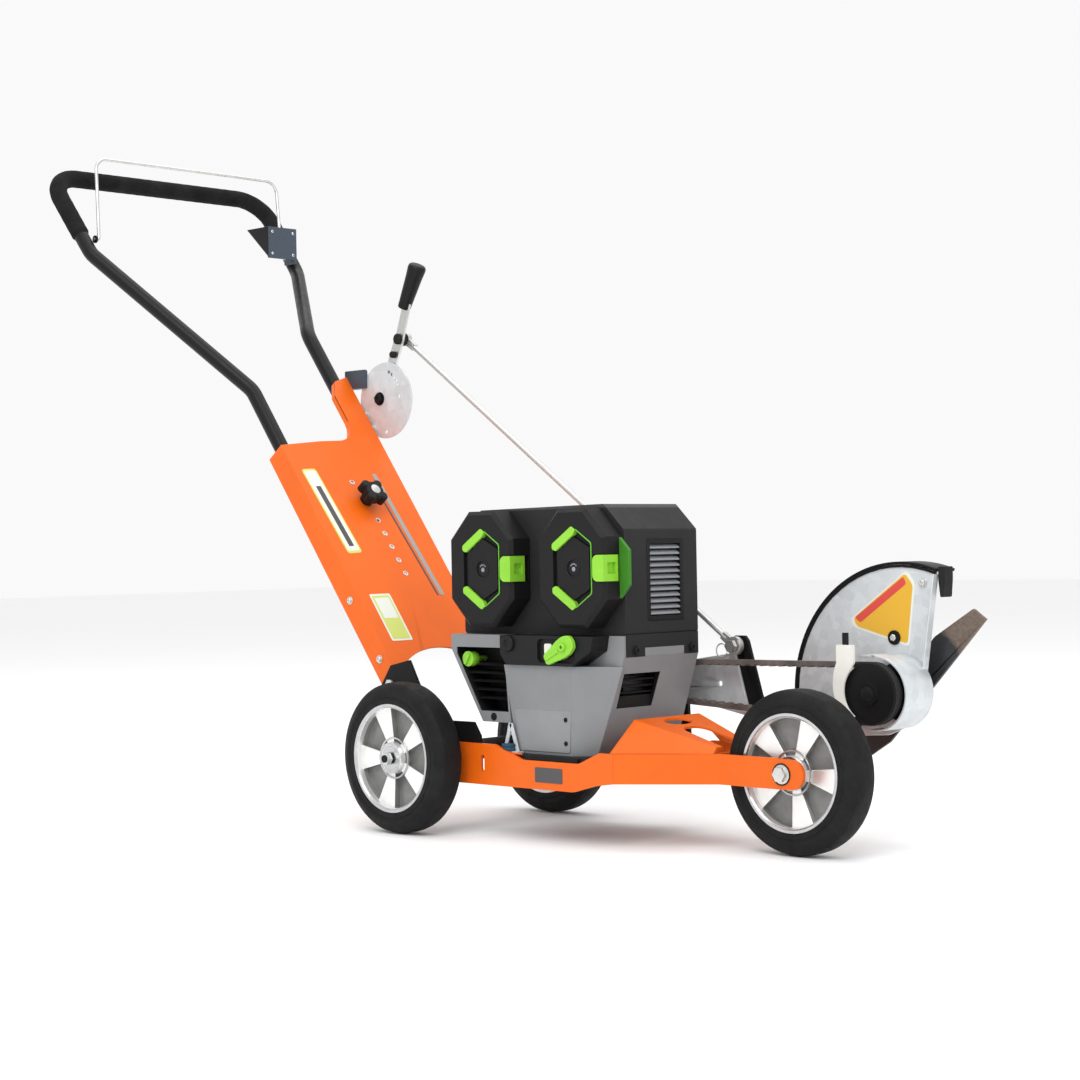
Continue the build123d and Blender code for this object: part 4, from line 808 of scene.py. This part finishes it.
def console_details():
    """Blank stickers, the folded lip of the long horn, eyelets and rivets."""
    stick("sticker_left_border", bar((-70.5, 358), (-62, 206), 27), LIME_STICKER, radius=6)
    stick("sticker_left_face", bar((-70.3, 354), (-62.2, 210), 22), PALE, lift=0.35, radius=4)
    stick("sticker_left_bar", bar((-68.6, 326), (-62.8, 218), 9), DARK_STICKER, lift=0.7,
          thick=0.2, radius=1)
    stick("sticker_right_bar", bar((50, 350), (61, 128), 8), ASH, radius=2)
    stick("sticker_right_line", bar((42, 300), (52, 128), 3), DARK_STICKER, radius=1)
    stick("sticker_square", [(-76, 54), (-76, 134), (-38, 134), (-38, 54)], PALE, radius=3)
    stick("sticker_square_face", [(-73, 57), (-73, 131), (-41, 131), (-41, 57)], LIME_STICKER,
          lift=0.35, thick=0.2, radius=2)
    stick("sticker_square_patch", [(-70, 92), (-70, 127), (-44, 127), (-44, 92)], PALE,
          lift=0.55, thick=0.2, radius=2)

    bm = bmesh.new()
    edge = [(56, 453), (56, 478), (56, 502), (63, 516), (70, 530)]
    arc = [(16, 413), (25, 414.2), (33, 417), (40, 421.6), (46.5, 428), (51.5, 436.5), (54.8, 445)]
    line = arc + edge
    for (y0, s0), (y1, s1) in zip(line, line[1:]):
        run = Vector((y1 - y0, s1 - s0)).normalized()
        inward = Vector((run.y, -run.x)) * 1.6
        corners = [(y0, s0), (y1, s1), (y1 + inward.x, s1 + inward.y),
                   (y0 + inward.x, s0 + inward.y)]
        prism(bm, [on_console(a, b, 1.2) for a, b in corners], -CONSOLE_NORMAL * (9 * MM))
    finish_mesh("horn_lip", bm, ORANGE, "chassis")

    bm = bmesh.new()
    for y, s in [(12, 264 - 24 * k) for k in range(5)] + [(0, 334)]:
        lathe(bm, [(-0.2, 2.6), (-0.2, 4.4), (0.5, 4.2), (0.7, 3.6), (0.3, 2.6)],
              on_console(y, s), CONSOLE_NORMAL, 24)
    finish_mesh("index_eyelets", bm, PLATED, "chassis")
    rivets = [on_console(-98, s, 16) for s in (36, 136)]
    bolts("flange_rivets", rivets, -Y_AXIS, "chassis", across=8, high=2.6, hexagon=False)


def clamp_knob_details():
    """Chrome stud collar under the knob and a cap on its face."""
    bm = bmesh.new()
    lathe(bm, [(10.4, 0.5), (10.4, 6.2), (12, 6.8), (12.2, 9), (13, 9), (13, 0.5)],
          on_console(*KNOB), CONSOLE_NORMAL, 32)
    lathe(bm, [(27.6, 0.5), (27.6, 8), (28.6, 7.4), (29, 5), (29.1, 0.5)],
          on_console(*KNOB), CONSOLE_NORMAL, 32)
    finish_mesh("clamp_knob_cap", bm, PLATED, "knob")


def lever_details():
    """Smooth taper grip, ball joint and its cap, detent boss and pivot bolt."""
    low, high = at(-259, 108, 734), at(-226, 108, 796)
    axis = (high - low).normalized()
    length = (high - low).length / MM
    profile = [(0, 0.4), (0, 8.6), (1, 9.6), (3.5, 9.9)]
    for k in range(9):
        along = 8 + k * 5.4
        profile.append((along, 9.6 + 4 * along / length))
    profile += [(length - 7, 13.7), (length - 3, 13), (length - 0.9, 10.6),
                (length - 0.1, 6), (length, 0.4)]
    piece = turned("lever_grip_moulded", profile, low, axis, 40, JET, "lever", smooth=40)
    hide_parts("lever_grip")
    bm = bmesh.new()
    ball = [(a, math.sqrt(9 ** 2 - (a - 5.6) ** 2)) for a in (0, 1.6, 3.2, 5, 7)]
    lathe(bm, [(-0.05, 0.4)] + ball + [(7.6, 8.6), (7.6, 0.4)],
          at(LEVER_JOINT[0], 110, LEVER_JOINT[1]), Y_AXIS, 40)
    finish_mesh("lever_ball_boot", bm, FLAP, "lever", "black_plastic", smooth=50)
    bm = bmesh.new()
    lathe(bm, [(0, 0.4), (0, 8), (3.6, 8), (5, 6.4), (5, 0.4)],
          at(LEVER_JOINT[0], 106, LEVER_JOINT[1]), -Y_AXIS, 32)
    lathe(bm, [(0, 0.4), (0, 5), (5.6, 5), (7, 3.6), (7, 0.4)],
          at(-280.1, 106, 666.4), -Y_AXIS, 28)
    finish_mesh("lever_caps", bm, FLAP, "lever", "black_plastic")
    bolts("lever_pivot_bolt", [at(-310, 101.9, 602)], -Y_AXIS, "lever", BLACK_COAT,
          "black_plastic", across=14, high=4.5)
    places = [at(-376, 114.2, 640), at(-362, 114.2, 628)]
    bolts("quadrant_bolts", places, Y_AXIS, "chassis", across=8, high=3)


def switch_details():
    """Screws in the switch bracket's front plate and a thin black sheet of painted shade on its
    near ear.
    """
    front = [at(-604.05, y, z) for y in (138, 180) for z in (855, 890)]
    bolts("switch_screws", front, X_AXIS, "handle", across=5, high=1.6, washer=False,
          hexagon=False)
    # Painted shade: a thin black sheet over the near ear, which lies in shade.
    plate("switch_ear_painted_shade", [(-604.5, 850), (-604.5, 897.3), (-656, 897.3)], 129.5, 0.7, JET,
          "handle")


# ---------------------------------------------------------------- power unit

def battery_cap(number, x):
    """Lime bars, thin outline, inner plate, ring and lamps; the second has a side flange."""
    body = f"pack_{number}"
    cx, cz = x + 3, BATTERY_Z

    bm = bmesh.new()
    for sign in (1, -1):
        shape = [(cx - 34, cz + sign * 31), (cx, cz + sign * 53), (cx + 7, cz + sign * 48.5), (cx +
                 3, cz + sign * 42), (cx - 28, cz + sign * 21.8), (cx - 34, cz + sign * 24.5)]
        slab(bm, rounded(shape[::sign], 2), BATTERY_FACE - 1.4, 7)
    finish_mesh(f"battery_{number}_bars", bm, LIME, body, bevel=0.6)

    outline = [(cx + 7, cz + 48.8), (cx + 33.4, cz + 31.6), (cx + 33.4, cz - 31.6),
               (cx + 7, cz - 48.8)]
    path = [at(px, BATTERY_FACE - 0.2, pz) for px, pz in outline]
    bm = bmesh.new()
    tube(bm, bend(path, (5, 5), 5), 0.8, 10)
    finish_mesh(f"battery_{number}_outline", bm, LEAF, body)

    bm = bmesh.new()
    shape = [(-27.5, -22), (0, -40.5), (28.5, -26), (28.5, 26), (0, 40.5), (-27.5, 22)]
    outer = [(cx + a, cz + b) for a, b in rounded(shape, 3, 3)]
    inner = [polar((cx, cz), 12, math.degrees(math.atan2(b - cz, a - cx))) for a, b in outer]
    count = len(outer)
    rows = []
    for y in (BATTERY_FACE + 1.6, BATTERY_FACE + 5.2):
        rows.append([bm.verts.new(at(a, y, b)) for a, b in outer])
        rows.append([bm.verts.new(at(a, y, b)) for a, b in inner])
    front_out, front_in, back_out, back_in = rows
    for k in range(count):
        j = (k + 1) % count
        for a, b in ((front_out, front_in), (front_in, back_in), (back_in, back_out),
                     (back_out, front_out)):
            bm.faces.new((a[k], a[j], b[j], b[k]))
    finish_mesh(f"battery_{number}_plate", bm, PACK_BLACK, body, bevel=0.5)

    turned(f"battery_{number}_ring", [(0, 9.9), (0, 12.6), (3.6, 12.2), (4.2, 11.2), (3.6,
           10.4)], at(cx, BATTERY_FACE + 5, cz), -Y_AXIS, 40, JET, body)

    bm = bmesh.new()
    for k in range(5):
        lamp_x, lamp_z = polar((cx, cz), 5.6, 40 + 25 * k)
        lathe(bm, [(0, 0.3), (0, 1.1), (0.5, 0.9), (0.6, 0.3)],
              at(lamp_x, BATTERY_FACE + 3.1, lamp_z), -Y_AXIS, 12)
    lathe(bm, [(0, 0.3), (0, 3), (0.35, 2.8), (0.4, 0.3)],
          at(cx, BATTERY_FACE + 3.1, cz - 1), -Y_AXIS, 24)
    finish_mesh(f"battery_{number}_lamps", bm, SLAT_GREY, f"button_{number}", "black_plastic")

    if number == 2:
        # Painted shade: the side flange takes the darker copy of the leaf green.
        bm = bmesh.new()
        shape = [(41, 50), (47, 50), (74, 22), (74, -22), (47, -50), (41, -50)]
        slab(bm, [(x + a, cz + b) for a, b in shape], -69.4, 5.4)
        finish_mesh("battery_2_flange", bm, LEAF_PAINTED_SHADE, body, bevel=0.6)


def louvre():
    """Angled slats in a raised frame."""
    y0, y1, z0, z1 = -19.8, 49.8, 279.2, 382.8
    bm = bmesh.new()
    outline = rect(y0, z0, y1, z1)
    inner = rect(y0 + 6, z0 + 6, y1 - 6, z1 - 6)
    for k in range(4):
        j = (k + 1) % 4
        corners = [at(322.4, *outline[k]), at(322.4, *outline[j]),
                   at(322.4, *inner[j]), at(322.4, *inner[k])]
        prism(bm, corners, X_AXIS * (8.2 * MM))
    prism(bm, [at(322.3, a, b) for a, b in outline], X_AXIS * (1.6 * MM))
    frame_piece = finish_mesh("louvre_frame", bm, JET, "chassis", "grey_plastic", bevel=0.6)
    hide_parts("louvre_grille")
    bm = bmesh.new()
    for k in range(12):
        z = z0 + 7.6 * (k + 1)
        outline = [(324.2, z + 3.4), (329.6, z), (329.6, z + 2.1), (324.2, z + 5.5)]
        corners = [at(x, y0 + 6.1, height) for x, height in outline]
        prism(bm, corners, Y_AXIS * ((y1 - y0 - 12.2) * MM))
    finish_mesh("louvre_slats", bm, SLAT_GREY, "chassis", bevel=0.5)


def housing_details():
    """Slats, bolts, roof inlay and side and rear ribs of the power unit."""
    bm = bmesh.new()
    for z in (178, 189, 200, 211, 222):
        left = 84 if z > 212 else 94 - (z - 168) * 0.55
        corners = [at(left, -86, z), at(left, -80, z + 2.2), at(left, -56, z + 2.2),
                   at(left, -56, z - 0.4), at(left, -84.5, z - 0.9)]
        right = 141 + (240 - z) * 0.07
        prism(bm, corners, X_AXIS * ((right - left - 0.5) * MM))
    finish_mesh("recess_slats", bm, JET, "chassis", bevel=0.3)

    bm = bmesh.new()
    for k in range(5):
        z = 171 + k * 8.4
        x = 292 + (z - 166) * 0.348
        corners = [at(x, a, b) for a, b in rect(-56, z, 8, z + 2.4)]
        prism(bm, corners, X_AXIS * (7.5 * MM))
    finish_mesh("vent_slats", bm, JET, "chassis", bevel=0.3)

    near = [at(121, -90.2, 155), at(290, -83.6, 253)]
    bolts("housing_bolts_right", near, -Y_AXIS, "chassis", JET, across=7, high=2, hexagon=False)
    feet = [at(330.1, y, 243) for y in (-44, 63)]
    bolts("housing_bolts_front", feet, X_AXIS, "chassis", JET, across=9, high=3, hexagon=False)

    bm = bmesh.new()
    stripe = rounded(rect(262, -34, 276, 66), 3)
    corners = [at(a, b, 426.6 + (a - 262) * 0.012) for a, b in stripe]
    prism(bm, corners, Z_AXIS * (1.1 * MM))
    finish_mesh("roof_inlay", bm, JET, "chassis", bevel=0.3)

    bm = bmesh.new()
    for k in range(7):
        x = 70 + k * 22
        slab(bm, rounded(rect(x, 290, x + 8, 398), 3.5, 3), 76.6, 2)
    slab(bm, rounded(rect(52, 272, 318, 280), 3), 76.6, 2.4)
    finish_mesh("housing_side_ribs", bm, CHARCOAL, "chassis", bevel=0.8)

    bm = bmesh.new()
    for z in (300, 318, 336, 354):
        corners = [at(40.2, a, b) for a, b in rounded(rect(-40, z, 56, z + 8), 3, 3)]
        prism(bm, corners, -X_AXIS * (1.8 * MM))
    finish_mesh("housing_rear_ribs", bm, CHARCOAL, "chassis", bevel=0.6)


def column_details():
    """Proud lower cover with dark bolts on the grey column, and its bracket and damper."""
    plate("column_cover", rounded([(168, 114), (258, 114), (261, 167), (160, 167)],
          3), -91.6, 1.6, GREY, "chassis", bevel=0.5)
    bolts("column_bolts", [at(252, -91.6, z) for z in (126, 156)], -Y_AXIS, "chassis",
          JET, across=6, high=1.6, washer=False, hexagon=False)
    bm = bmesh.new()
    for foot_x in (146, 170):
        a, b, c, d = bar((foot_x, 112), (158, 148), 5.2)
        slab(bm, [b, a, d, c], -97, 2)
    slab(bm, rect(140, 110.4, 176, 113), -103, 12)
    finish_mesh("engine_bracket", bm, GALVANISED, "chassis", bevel=0.3)
    turned("engine_damper", [(0, 0.4), (0, 9.5), (2, 10), (4.5, 8.6), (7, 10), (9,
           9.5), (9, 0.4)], at(157, -99, 113.2), Z_AXIS, 32, BLUE_RUBBER, "chassis")


def start_key():
    """Lime key: thick paddle with a raised spine and a tether hole."""
    cx, cz = KEY_CENTRE
    turn = math.radians(28)

    def placed(points):
        return [(cx + a * math.cos(turn) - b * math.sin(turn),
                 cz + a * math.sin(turn) + b * math.cos(turn)) for a, b in points]
    bm = bmesh.new()
    body = [(-27, -7.5), (-12, -9.5), (2, -12.5), (14, -13.2), (25, -9), (27.6, 0), (25, 9),
            (14, 13.2), (2, 12.5), (-12, 9), (-27, 7)]
    slab(bm, placed(rounded(body, 5)), -103.8, 6.3)
    slab(bm, placed(rounded([(-25, -2), (0, -2.6), (0, 2.6), (-25, 2)], 1.5)), -105.6, 2.4)
    hole_x, hole_z = placed([(9.5, 0)])[0]
    lathe(bm, [(0, 2.4), (0, 5.6), (3.6, 5.2), (4, 4.4), (4, 2.4)],
          at(hole_x, -103.9, hole_z), -Y_AXIS, 32)
    lathe(bm, [(0, 0.4), (0, 4), (16, 4), (16, 0.4)], at(cx, -98, cz), Y_AXIS, 32)
    piece = finish_mesh("start_key", bm, LIME, "switch", bevel=0.7)
    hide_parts("power_switch")
    turned("key_collar", [(0, 10.2), (0, 14), (1.2, 13.6), (1.6, 12), (1.2, 10.2)], at(cx,
           -93.1, cz), -Y_AXIS, 48, JET, "chassis")
    plate("key_plate", rounded(rect(218, 234, 231, 252), 3), -93.4, 0.8, PALE, "chassis",
          "black_plastic")
    turned("panel_boss", [(0, 0.4), (0, 10.5), (3, 10.5), (4.5, 9), (4.5, 5), (3, 4.4),
           (3, 0.4)], at(157, -96.8, 251), -Y_AXIS, 40, JET, "chassis", bevel=0.4)


# ---------------------------------------------------------------- cutter head

def belt():
    """Cogged belt: flat outside, teeth on the inside, wrapped round both pulleys."""
    gap = (Vector(ARBOR) - Vector(DRIVE))
    tilt = math.degrees(math.atan2(gap.y, gap.x))

    def loop(grow):
        """Closed line round both pulleys, in 240 steps or so."""
        r0, r1 = 20.35 + grow, 31.35 + grow
        lean = math.degrees(math.asin((r1 - r0) / gap.length))

        def run(start, end):
            start, end = Vector(start), Vector(end)
            return [tuple(start.lerp(end, k / 90)) for k in range(1, 90)]
        low, high = tilt - 90 - lean, tilt + 90 + lean
        points = [polar(DRIVE, r0, high + (180 - 2 * lean) * k / 40) for k in range(41)]
        points += run(polar(DRIVE, r0, low), polar(ARBOR, r1, low))
        points += [polar(ARBOR, r1, low + (180 + 2 * lean) * k / 60) for k in range(61)]
        return points + run(polar(ARBOR, r1, high), polar(DRIVE, r0, high))
    inner, cog, outer = loop(0), loop(2.2), loop(7.6)
    bm = bmesh.new()
    rows = []
    count = len(inner)
    inside = [inner[k] if (k // 2) % 2 else cog[k] for k in range(count)]
    for y, line in ((102.2, outer), (113.8, outer), (113.8, inside), (102.2, inside)):
        rows.append([bm.verts.new(at(a, y, b)) for a, b in line])
    for k in range(count):
        j = (k + 1) % count
        for a, b in zip(rows, rows[1:] + rows[:1]):
            bm.faces.new((a[k], a[j], b[j], b[k]))
    piece = finish_mesh("cogged_belt", bm, BELT, "head", smooth=20)
    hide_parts("drive_belt")


def guard_details():
    """Sticker, ring, bolts, front flange, edge hem and rubber flap of the blade guard."""
    def on_guard(name, corners, material, lift, radius, thick=0.3):
        plate(name, rounded(corners, radius), 170 - lift - thick, thick, material, "head",
              "galvanised")
    tri = [(505, 277), (592, 338), (604, 322), (594, 243), (510, 266)]
    mid = Vector((sum(p[0] for p in tri) / 5, sum(p[1] for p in tri) / 5))
    small = [tuple(mid + (Vector(p) - mid) * 0.92) for p in tri]
    on_guard("guard_sticker_edge", tri, PALE, 0.02, 6)
    on_guard("guard_sticker_face", small, YELLOW, 0.3, 5)
    band = [(512, 278.5), (587, 330), (591, 321), (520, 272)]
    on_guard("guard_sticker_band", band, RED, 0.6, 3, thick=0.2)
    turned("guard_ring", [(0, 4.2), (0, 9.2), (1.4, 9), (1.8, 8.2), (1.8, 4.2)], at(572,
           169, 254), -Y_AXIS, 40, BLACK_COAT, "head")
    bolts("guard_ring_bolt", [at(572, 169, 254)], -Y_AXIS, "head", across=8, high=4.4,
          washer=False)

    bm = bmesh.new()
    low, high = Vector((611.5, 178)), Vector(polar(GUARD_CENTRE, GUARD_R - 1, GUARD_FROM))
    run = (high - low).normalized()
    side = Vector((run.y, -run.x))
    a, b = low + run * 2, high - run * 2
    corners = [tuple(a), tuple(b), tuple(b + side * 1.8), tuple(a + side * 1.8)]
    slab(bm, corners, 162, 11)
    finish_mesh("guard_flange", bm, GALVANISED, "head", bevel=0.5)

    places = [at(x, 169.9, z) for x, z in ((616, 322), (470, 160), (600, 196))]
    bolts("guard_bolts", places, -Y_AXIS, "head", across=8, high=3.5)
    ring = [polar(GUARD_CENTRE, 118, angle) for angle in (95, 135, 175)]
    outside = [at(a, 173.1, b) for a, b in ring]
    bolts("guard_bolts_left", outside, Y_AXIS, "head", across=8, high=3)

    bm = bmesh.new()
    for k in range(24):
        a0, a1 = (GUARD_FROM + GUARD_SWEEP * step / 24 for step in (k, k + 1))
        corners = [polar(GUARD_CENTRE, r, a)
                   for r, a in ((160.6, a0), (163.9, a0), (163.9, a1), (160.6, a1))]
        slab(bm, corners, 168.4, 1.7)
    finish_mesh("guard_hem", bm, BLACK_COAT, "head")

    low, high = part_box("guard_flap")
    x0, x1 = (low.x - AXLE_X) / MM + 0.2, (high.x - AXLE_X) / MM - 0.2
    z0, z1 = low.z / MM + 0.2, high.z / MM - 0.2
    bm = bmesh.new()
    shape = [(x0, z1), (x1, z1), (x1, z1 - 15), (x1 - 2, z0), (x0 + 2.5, z0), (x0, z1 - 18)]
    slab(bm, rounded(shape, 1.6, 3), low.y / MM + 0.2, (high.y - low.y) / MM - 0.4)
    piece = finish_mesh("guard_flap_rubber", bm, FLAP, "head", "flap", bevel=0.6)
    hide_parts("guard_flap")


def keeper_details():
    """Dark pin on the pale belt keeper."""
    plate("keeper_pin", rect(549, 246, 557, 263), 91.5, 3.5, JET, "head", bevel=0.6)


def arbor_cap():
    """Black dust cap on the pulley's end of the arbor."""
    turned("arbor_cap", [(0, 0.4), (0, 9.4), (1.2, 9), (1.8, 7.6), (1.8, 0.4)], at(ARBOR[0],
           96.05, ARBOR[1]), -Y_AXIS, 40, JET, "arbor")


def pin_ring():
    """Wire ring through the crank pin."""
    centre = at(340, 112, 236)
    path = []
    for k in range(33):
        a, b = polar((0, 0), 9 * MM, 20 + 320 * k / 32)
        path.append(centre + X_AXIS * a + Z_AXIS * b)
    bm = bmesh.new()
    tube(bm, path, 0.9, 8)
    finish_mesh("pin_ring", bm, PLATED, "head")


def welds():
    """Weld beads where plates meet tubes and plates."""
    bm = bmesh.new()
    for sign in (-1, 1):
        bead(bm, at(100, sign * 104.6, 110.6), at(186, sign * 104.6, 110.6), 1.4)
        bead(bm, at(352, sign * 104, 119.4), at(448, sign * 40, 119.4), 1.2)
    finish_mesh("welds_chassis", bm, ORANGE, "chassis", smooth=60)
    bm = bmesh.new()
    for k in range(28):
        x, z = polar(ARBOR, 26.6, 360 * k / 28)
        ripple(bm, at(x, 158.6, z), 1.7)
    bead(bm, at(374, 134.6, 166.4), at(398, 134.6, 166.4), 1.8)
    finish_mesh("welds_head", bm, BLACK_COAT, "head", smooth=60)


def frame_details():
    """Blank badge, cross plate under the saddle, and the front axle's washers and a black ring of
    painted shade round it.
    """
    plate("frame_badge", rounded(rect(214, 77, 262, 96), 2), -110.5, 0.5, DARK_STICKER,
          "chassis", "black_paint")
    bm = bmesh.new()
    corners = [at(438, a, b) for a, b in rect(-37, 84, 37, 118)]
    prism(bm, corners, X_AXIS * (3 * MM))
    finish_mesh("frame_cross_plate", bm, ORANGE, "chassis", bevel=0.5)
    bm = bmesh.new()
    lathe(bm, [(0, 5), (0, 11.6), (0.8, 11.6), (1.1, 11), (1.1, 5)],
          at(FRONT_AXLE_X, -36, WHEEL_R), -Y_AXIS, 40)
    lathe(bm, [(0, 5), (0, 11.6), (0.5, 11.6), (0.5, 5)], at(FRONT_AXLE_X, 36, WHEEL_R), Y_AXIS,
          40)
    finish_mesh("front_axle_washers", bm, PLATED, "chassis")
    # Painted shade: a thin black ring for the shaded recess round the axle bolt.
    turned("front_axle_painted_shade_ring", [(0, 11.7), (0, 13.4), (0.8, 13.4), (1, 13), (1, 11.7)],
           at(FRONT_AXLE_X, -36, WHEEL_R), -Y_AXIS, 40, JET, "chassis")


camera()
studio()
tyres()
hub_details()
grip()
leg_clamps()
console_details()
clamp_knob_details()
lever_details()
switch_details()
for battery_number, battery_x in enumerate(BATTERY_X, start=1):
    battery_cap(battery_number, battery_x)
louvre()
housing_details()
column_details()
start_key()
belt()
guard_details()
keeper_details()
arbor_cap()
pin_ring()
welds()
frame_details()
